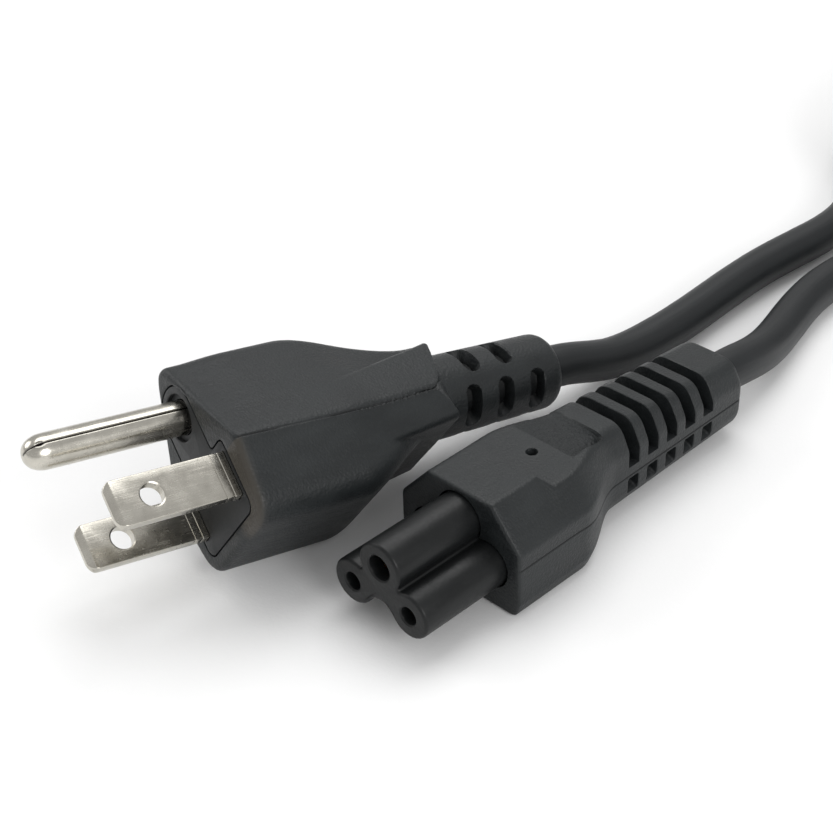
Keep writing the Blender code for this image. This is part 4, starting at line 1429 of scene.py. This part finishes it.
    def build_blade(self, name: str, node: str, sign: float, metal: bpy.types.Material) -> None:
        """Make one blade: a lofted bar with a chamfered tip, then its hole.

        Each section has its y, half width, half thickness and edge radius. Two shallow
        waists near the root are the fine lines there.

        Args:
            name: The piece's name.
            node: The solid that it stands for.
            sign: Which side of the plug's middle it is on.
            metal: Its material.
        """
        middle = sign * self.blade_centres / 2.0
        half, thick = self.blade_width / 2.0, self.blade_thickness / 2.0
        tip = -self.blade_length
        sections = np.array([
            (self.blade_root, half, thick, 0.14), (-0.9, half, thick, 0.14),
            (-1.0, half - 0.04, thick - 0.06, 0.14), (-1.12, half - 0.04, thick - 0.06, 0.14),
            (-1.22, half, thick, 0.14), (-2.0, half, thick, 0.14),
            (-2.08, half - 0.03, thick - 0.05, 0.14), (-2.16, half - 0.03, thick - 0.05, 0.14),
            (-2.24, half, thick, 0.14), (tip + 1.35, half, thick, 0.14),
            (tip + 1.0, half - 0.05, thick, 0.14), (tip + 0.86, half - 0.09, thick - 0.04, 0.14),
            (tip + 0.6, half - 0.22, thick - 0.17, 0.14),
            (tip + 0.38, half - 0.42, thick - 0.29, 0.14), (tip + 0.2, half - 0.68, thick - 0.38, 0.12),
            (tip + 0.08, half - 0.95, thick - 0.45, 0.1), (tip + 0.02, half - 1.2, thick - 0.49, 0.08),
            (tip, half - 1.4, thick - 0.53, 0.08)])
        x, z, r = sections[:, 1], sections[:, 2], sections[:, 3]
        corners = np.stack([np.stack([sx * x, middle + sz * z, r], axis=1)
                            for sx, sz in ((-1, -1), (1, -1), (1, 1), (-1, 1))], axis=1)
        blade = lofted(name, rounded_outline(corners, 4), sections[:, 0])
        bore, mouth = self.hole_radius, self.hole_radius + 0.4
        profile = np.array([(mouth, -2.0), (mouth, -thick - 0.12), (bore, -thick + 0.1),
                            (bore, thick - 0.1), (mouth, thick + 0.12), (mouth, 2.0)])
        angle = np.linspace(0.0, math.tau, 64, endpoint=False)
        level = self.hole_from_tip + tip
        ring_x = profile[:, 0:1] * np.cos(angle)
        ring_y = level + profile[:, 0:1] * np.sin(angle)
        ring_z = np.broadcast_to(middle + profile[:, 1:2], ring_x.shape)
        carve(blade, [skinned(f"{name}_hole", np.stack([ring_x, ring_y, ring_z], axis=-1))])
        settle(blade, self.place, 22.0)
        dress(blade, metal, "nickel_plate", node)

    def build_pin(self, metal: bpy.types.Material) -> None:
        """Make the ground pin, rolled from sheet: a turned form with a groove along it.

        The radius is that of a superellipse over the tip, less a bell-shaped groove at the
        seam's angle that widens to a nick near the tip.

        Args:
            metal: Its material.
        """
        angles = clustered_angles(128, ((self.pin_seam, 7.0, 3.0), (self.pin_seam + 180.0, 4.0, 0.6)))
        tip = -self.pin_length
        bend = np.linspace(0.06, math.pi / 2.0, 16)
        shank = np.linspace(tip + self.pin_tip + 0.4, self.blade_root, 44)
        y = np.concatenate([tip + self.pin_tip * (1.0 - np.cos(bend)), shank])
        radius = self.pin_radius * np.concatenate([np.sin(bend) ** 0.8, np.ones(len(shank))])
        arc = np.radians(half_turned(np.degrees(angles) - self.pin_seam))[None, :] * radius[:, None]
        nick = bell(y[:, None] - self.pin_nick, 0.35)
        groove = 0.26 * bell(arc, 0.11) + 0.3 * nick * bell(arc, 0.3)
        ease = np.clip(radius / self.pin_radius, 0.0, 1.0)[:, None]
        outside = smooth((1.2 - y) / 0.3)[:, None]
        reach = radius[:, None] - groove * ease * outside
        # Painted shade in the seam's groove and its nick.
        seam = np.clip(bell(arc, 0.15) + nick * bell(arc, 0.42), 0.0, 1.0) * outside
        grid = self.polar(np.full(len(y), self.pin_x), y, reach, angles)
        pin = skinned("ground_pin_metal", grid, {Mark.SEAM: seam})
        settle(pin, self.place, 38.0)
        dress(pin, metal, "nickel_plate", "ground_pin")

    def build(self) -> None:
        """Make every piece of the plug."""
        metal = NICKEL.make("nickel_finish")
        self.build_moulding()
        self.build_carrier()
        self.build_blade("line_blade_metal", "line_blade", 1.0, metal)
        self.build_blade("neutral_blade_metal", "neutral_blade", -1.0, metal)
        self.build_pin(metal)


# ---------------------------------------------------------------- connector

@dataclass
class Connector:
    """The cloverleaf connector: moulding, nose and the contacts inside it.

    A lobe has its centre's x and z and its radius. Full body, grip, neck and tail have
    their half width, the top's height and half width, the height of the bevel's foot, the
    bottom's depth and the edge radius.
    """

    place: Place = Place((14.72, -21.25, 7.52))
    nose_length: float = 14.5
    seat_depth: float = 3.0
    side_lobe: tuple[float, float, float] = (5.0, -1.1, 3.3)
    earth_lobe: tuple[float, float, float] = (0.0, 3.8, 3.6)
    side_fillet: float = 0.3
    bottom_fillet: float = 2.45
    full: tuple = (10.6, 8.4, 5.6, 2.7, 7.5, 0.8)
    grip: tuple = (10.6, 6.8, 7.2, 2.7, 7.5, 0.8)
    neck: tuple = (6.4, 7.0, 4.5, 3.2, 5.9, 2.6)
    tail: tuple = (6.1, 4.9, 4.3, 1.5, 5.6, 2.8)
    bottom_bevel: tuple[float, float] = (0.8, 2.2)
    front_round: float = 0.45
    grip_first: float = 23.2
    grip_last: float = 24.8
    shoulder: float = 27.5
    neck_first: float = 39.0
    end: float = 68.0
    end_round: float = 1.3
    end_shrink: tuple = (1.3, 1.3, 1.3, 0.65, 1.3, 0.0)
    pocket_gap: float = 0.2
    pocket_rim: float = 0.1
    cord_z: float = -0.8
    core: float = 4.0
    groove_first: float = 42.6
    groove_pitch: float = 4.2
    groove_count: int = 5
    groove_half: float = 1.05
    groove_turn: float = 78.5
    window: tuple[float, float] = (-1.6, -4.0)
    hole_y: float = 28.5
    hole_radius: float = 0.75
    hole_depth: float = 1.6
    pad_centre: tuple[float, float] = (-0.55, 34.5)
    pad_half: tuple[float, float] = (5.2, 3.2)
    pad_step: float = 0.1
    pad_slope: float = 0.85
    seam_depth: float = 0.13
    nose_round: float = 0.45
    # The nose's holes: the contact that each one leads to, and its radius.
    bores: tuple = (("line", 1.25), ("neutral", 1.25), ("earth", 1.75))

    def clover(self, grow: float, steps: int = 22) -> Array:
        """Return the nose's outline: three lobes joined by hollow fillets.

        A fillet's centre lies at both lobes' radii plus its own from their centres. A lobe
        runs between the directions of its two fillets, a fillet between those of its two
        lobes. Growing it adds to the lobes' radii and takes from the fillets'.

        Args:
            grow: How far the outline is moved out.
            steps: Points on each arc.

        Returns:
            The outline as (points, 2).
        """
        x, z, radius = self.side_lobe
        lobes = [(x, z, radius), self.earth_lobe, (-x, z, radius)]
        fillets = (self.side_fillet, self.side_fillet, self.bottom_fillet)
        hollows = []
        for number, fillet in enumerate(fillets):
            first, second = np.array(lobes[number]), np.array(lobes[(number + 1) % 3])
            chord = second[:2] - first[:2]
            span = float(np.linalg.norm(chord))
            near, far = first[2] + fillet, second[2] + fillet
            part = (near ** 2 - far ** 2 + span ** 2) / (2.0 * span)
            outward = np.array([chord[1], -chord[0]]) / span
            centre = first[:2] + chord / span * part + outward * math.sqrt(near ** 2 - part ** 2)
            hollows.append((*centre, fillet))
        arcs = []
        for number, (cx, cz, size) in enumerate(lobes):
            before, after = hollows[number - 1], hollows[number]
            start = math.atan2(before[1] - cz, before[0] - cx)
            stop = start + (math.atan2(after[1] - cz, after[0] - cx) - start) % math.tau
            arcs.append((cx, cz, size + grow, start, stop))
            following = lobes[(number + 1) % 3]
            start = math.atan2(cz - after[1], cx - after[0])
            other = math.atan2(following[1] - after[1], following[0] - after[0])
            stop = start - (start - other) % math.tau
            arcs.append((after[0], after[1], after[2] - grow, start, stop))
        table = np.array(arcs)
        share = np.linspace(0.0, 1.0, steps, endpoint=False)
        turn = table[:, 3:4] + (table[:, 4:5] - table[:, 3:4]) * share
        points = table[:, None, :2] + table[:, 2:3, None] * np.stack([np.cos(turn), np.sin(turn)], axis=-1)
        return points.reshape(-1, 2)

    def section(self, y: Array) -> Array:
        """Return the moulding's cross-section corners at each level.

        The numbers of the full body, grip, neck and tail are joined by straight shares,
        and by an eased share between shoulder and neck.

        Args:
            y: The levels.

        Returns:
            Corners as (rows, 8, 3).
        """
        stops = (self.nose_length, self.grip_first, self.grip_last, self.shoulder, self.neck_first,
                 self.end - self.end_round)
        narrowing = self.neck_first - self.shoulder
        share = smooth((y - self.shoulder) / narrowing)
        eased = np.where((y > self.shoulder) & (y < self.neck_first), self.shoulder + narrowing * share, y)
        table = np.array([self.full, self.full, self.grip, self.grip, self.neck, self.tail])
        return self.corners([np.interp(eased, stops, column) for column in table.T])

    def corners(self, numbers: list[Array]) -> Array:
        """Return a section's eight corners, the left four mirrored from the right.

        Args:
            numbers: The section's six numbers, each as (rows,).

        Returns:
            Corners as (rows, 8, 3).
        """
        half, top, top_half, bevel, bottom, radius = numbers
        wide, high = self.bottom_bevel
        right = np.stack([np.stack([top_half, top, radius], -1), np.stack([half, bevel, radius], -1),
                          np.stack([half, high - bottom, radius], -1),
                          np.stack([half - wide, -bottom, radius], -1)], axis=-2)
        return np.concatenate([right, right[..., ::-1, :] * np.array([-1.0, 1.0, 1.0])], axis=-2)

    def seam_z(self, y: Array) -> Array:
        """Return the parting line's height, which sinks from the body to the relief."""
        return 0.35 - 1.45 * smooth((y - 25.0) / 14.0)

    def polar(self, y: Array, reach: Array, angles: Array) -> Array:
        """Return points from distances to the seam's axis: x = r cos a, z = c + r sin a.

        Args:
            y: The rows' levels.
            reach: The distances r, (rows, columns).
            angles: The columns' directions a.

        Returns:
            Points as (rows, columns, 3).
        """
        x = reach * np.cos(angles)
        z = self.seam_z(y)[:, None] + reach * np.sin(angles)
        return np.stack([x, np.broadcast_to(y[:, None], x.shape), z], axis=-1)

    def levels(self) -> Array:
        """Work out the moulding's rows, close together at the hole, pad, grooves and windows.

        Returns:
            The rows' y, from the front to the relief's end.
        """
        grooves = self.groove_first + self.groove_pitch * np.arange(self.groove_count)[:, None]
        near = np.array([-1.75, -1.45, -1.25, -1.13, -1.05, -0.97, -0.85, -0.5, 0.0,
                         0.5, 0.85, 0.97, 1.05, 1.13, 1.25, 1.45, 1.75])
        relief = (grooves + near * self.groove_half / 1.05).ravel()
        front = np.linspace(self.nose_length + self.front_round, self.grip_first - 0.1, 12)
        grip = [self.grip_first, self.grip_first + 0.1, *np.linspace(23.6, 24.4, 4),
                self.grip_last - 0.1, self.grip_last, self.grip_last + 0.1, *np.linspace(25.2, 27.4, 6)]
        hole, pad = np.linspace(27.55, 29.45, 20), np.linspace(29.7, 38.8, 56)
        neck = np.linspace(39.0, 40.8, 5)
        last = np.linspace(61.9, self.end - self.end_round, 10)
        return np.unique(np.round(np.concatenate([front, grip, hole, pad, neck, relief, last]), 4))

    def cut(self, y: Array, reach: Array, angles: Array) -> tuple[Array, Array, Array]:
        """Cut the grooves, windows, thumb pad, hole and seam into the moulding's distances.

        A groove brings the distance down to the core's circle, a window to the core's
        side wall; the hole, the pad, which deepens by the square of its share across, and
        the seam's bell are each a mask times a depth.

        Args:
            y: Levels of the rows.
            reach: Distances without them, (rows, columns).
            angles: Directions of the columns.

        Returns:
            The new distances, the pad marks and the marks of the grooves' and windows' floors, which get
            painted shade.
        """
        points = self.polar(y, reach, angles)
        x, z = points[..., 0], points[..., 2]
        offset = np.stack([np.zeros_like(y), self.cord_z - self.seam_z(y)], axis=1)
        floor = circle_reach(self.core, offset, angles)
        turn = np.abs(np.degrees(np.arctan2(x, z - self.cord_z)))
        grooves = self.groove_first + self.groove_pitch * np.arange(self.groove_count)
        nearest = np.abs(y[:, None] - grooves).min(axis=1)[:, None]
        bar = smooth(0.5 - (nearest - self.groove_half) / 0.2)
        over = bar * smooth(0.5 - (turn - self.groove_turn) / 2.2)
        new = reach + (floor - reach) * over
        middle, half = sum(self.window) / 2.0, (self.window[0] - self.window[1]) / 2.0
        opening = box_mask(nearest, z - middle, (self.groove_half, half), 0.25, 0.1)
        opening = opening * (np.abs(x) > self.core)
        side = self.core / np.maximum(np.abs(np.cos(angles)), 0.3)
        new = new + (np.minimum(side, reach) - new) * opening
        top = np.sin(angles) > 0.5
        pit = smooth(0.5 - (np.hypot(x, y[:, None] - self.hole_y) - self.hole_radius) / 0.16) * top
        new = new - self.hole_depth * pit
        middle_x, middle_y = self.pad_centre
        pad = box_mask(x - middle_x, y[:, None] - middle_y, self.pad_half, 0.5, 0.12) * top
        slope = np.clip((x + 5.75) / 10.4, 0.0, 1.0)
        new = new - pad * (self.pad_step + self.pad_slope * slope ** 2)
        line = np.abs(z - self.seam_z(y)[:, None])
        new = new - self.seam_depth * bell(line, 0.1) * (opening < 0.5)
        return new, pad, np.maximum(opening, over)

    def moulding_grid(self, angles: Array) -> tuple[Array, Array, Array]:
        """Return the moulding's rings from the nose's pocket to the cord's hole.

        The rings follow each other: the pocket's wall, the face, the front edge's quarter
        turn, the body with all that is cut into it, the relief's round end and the hole.

        Args:
            angles: Directions of the columns.

        Returns:
            The grid (rings, columns, 3), the seam marks, painted shade in the parting line's groove and the
            grooves' and windows' floors, and the pad marks.
        """
        front = np.full(1, self.nose_length)
        centre = np.stack([np.zeros(1), self.seam_z(front)], axis=1)
        pocket = along_rays(self.clover(self.pocket_gap)[None], centre, angles)
        outer = along_rays(rounded_outline(self.section(front), 4), centre, angles)
        small = self.section(front)
        small[..., :2] -= np.sign(small[..., :2]) * self.front_round
        small[..., 1, 1] += 0.5 * self.front_round
        inner = along_rays(rounded_outline(small, 4), centre, angles)
        deep = self.nose_length + self.seat_depth + 0.3
        rim = self.pocket_rim
        rows = [(deep, 0.4 * pocket), (deep, 0.75 * pocket), (deep, pocket), (16.2, pocket),
                (14.75, pocket), (14.56, pocket + 0.03), (self.nose_length, pocket + rim)]
        for share in (0.25, 0.5, 0.75, 1.0):
            rows.append((self.nose_length, pocket + rim + (inner - pocket - rim) * share))
        for turn in COARSE_QUARTER_TURN[1:-1]:
            rows.append((self.nose_length + self.front_round * (1.0 - math.cos(turn)),
                         inner + (outer - inner) * math.sin(turn)))
        levels = np.array([row[0] for row in rows])
        parts = [self.polar(levels, np.concatenate([row[1] for row in rows]), angles)]
        pads = [np.zeros(parts[0].shape[:2])]
        floors = [pads[0]]
        y = self.levels()
        centre = np.stack([np.zeros_like(y), self.seam_z(y)], axis=1)
        reach = along_rays(rounded_outline(self.section(y), 4), centre, angles)
        reach, pad, deep_part = self.cut(y, reach, angles)
        parts.append(self.polar(y, reach, angles))
        pads.append(pad)
        floors.append(deep_part)
        last = y[-1:]
        centre = np.stack([np.zeros(1), self.seam_z(last)], axis=1)
        corners = self.corners(list((np.array(self.tail) - np.array(self.end_shrink))[:, None]))
        small = along_rays(rounded_outline(corners, 4), centre, angles)
        around = reach[-1:] + (small - reach[-1:]) * (1.0 - np.cos(QUARTER_TURN))[:, None]
        levels = self.end - self.end_round * (1.0 - np.sin(QUARTER_TURN))
        parts.append(self.polar(levels, around, angles))
        offset = np.array([[0.0, self.cord_z - self.seam_z(last)[0]]])
        hole = np.concatenate([circle_reach(size, offset, angles) for size in CORD_HOLE_RADII])
        levels = self.end + np.array(CORD_HOLE_LEVELS)
        parts.append(self.polar(levels, hole, angles))
        blank = [np.zeros(part.shape[:2]) for part in parts[2:]]
        grid, pad, floor = (np.concatenate(rows) for rows in (parts, pads + blank, floors + blank))
        away = np.abs(grid[..., 2] - self.seam_z(grid[..., 1]))
        on_sides = (grid[..., 1] > 14.6) * (grid[..., 1] < self.end - 1.0) * (np.abs(grid[..., 0]) > 4.5)
        # The seam marks paint shade into the parting line's groove and, below, into the grooves' and windows'
        # floors.
        seam = bell(away, 0.14) * on_sides
        return grid, np.maximum(seam, smooth(2.0 * floor - 0.8)), pad

    def build_moulding(self) -> bpy.types.Object:
        """Make the moulded body in one closed piece.

        Returns:
            The piece.
        """
        seams, windows = ((0.0, 4.0, 3.0), (180.0, 4.0, 3.0)), ((345.0, 12.0, 1.0), (195.0, 12.0, 1.0))
        angles = clustered_angles(300, (*seams, *windows, (90.0, 7.0, 3.0)))
        grid, seam, pad = self.moulding_grid(angles)
        poles = (np.array([0.0, grid[0, 0, 1], 0.35]), np.array([0.0, grid[-1, 0, 1], self.cord_z]))
        piece = skinned("connector_moulding", grid, {Mark.SEAM: seam, Mark.PAD: pad}, poles)
        settle(piece, self.place, 32.0)
        dress(piece, PVC.make("connector_pvc"), "black_pvc", "connector_body")
        return piece

    def build_nose(self) -> bpy.types.Object:
        """Make the cloverleaf nose with its three stepped holes.

        The front edge is a quarter turn of the edge's radius r: the outline is moved in by
        r(1 - sin a) at the level r(1 - cos a).

        Returns:
            The piece.
        """
        bend = COARSE_QUARTER_TURN
        grows = np.concatenate([-self.nose_round * (1.0 - np.sin(bend)), [0.0, 0.0, 0.0]])
        levels = np.concatenate([self.nose_round * (1.0 - np.cos(bend)),
                                 [5.0, 12.0, self.nose_length + self.seat_depth]])
        nose = lofted("connector_nose", np.stack([self.clover(grow) for grow in grows]), levels, (0.0, 0.2))
        x, z = self.side_lobe[:2]
        centres = {"line": (x, z), "neutral": (-x, z), "earth": self.earth_lobe[:2]}
        cutters = []
        for name, bore in self.bores:
            chamber = bore + 0.75
            profile = np.array([(chamber, -0.45), (bore + 0.3, 0.0), (bore + 0.07, 0.16), (bore, 0.4),
                                (bore, 2.0), (chamber, 2.0), (chamber, 11.6)])
            cutters.append(turned_form(f"{name}_hole", profile, centres[name], 56))
        carve(nose, cutters)
        settle(nose, self.place, 30.0)
        dress(nose, RIGID_BLACK.make("nose_finish"), "rigid_black", "connector_insert")
        return nose

    def dress_contacts(self) -> list[bpy.types.Object]:
        """Give the three contacts, kept as solids, their metal.

        Returns:
            The contacts.
        """
        metal = BRASS.make("brass_finish")
        contacts = [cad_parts[f"{name}_contact"] for name, _ in self.bores]
        for contact in contacts:
            contact.data.materials.clear()
            contact.data.materials.append(metal)
            LOG.info("%s: kept, in brass", contact.name)
        return contacts

    def build(self) -> list[bpy.types.Object]:
        """Make every piece of the connector and return them, contacts included."""
        return [self.build_moulding(), self.build_nose(), *self.dress_contacts()]


def main() -> None:
    """Make the studio, the cord and its pieces."""
    Studio().build()
    cord = Cord()
    tube, line = cord.build()
    strap = CoilStrap().build(cord)
    Plug().build()
    carried = Connector().build()


if __name__ == "__main__":
    logging.basicConfig(level=logging.INFO, format="%(name)s: %(message)s")
    main()
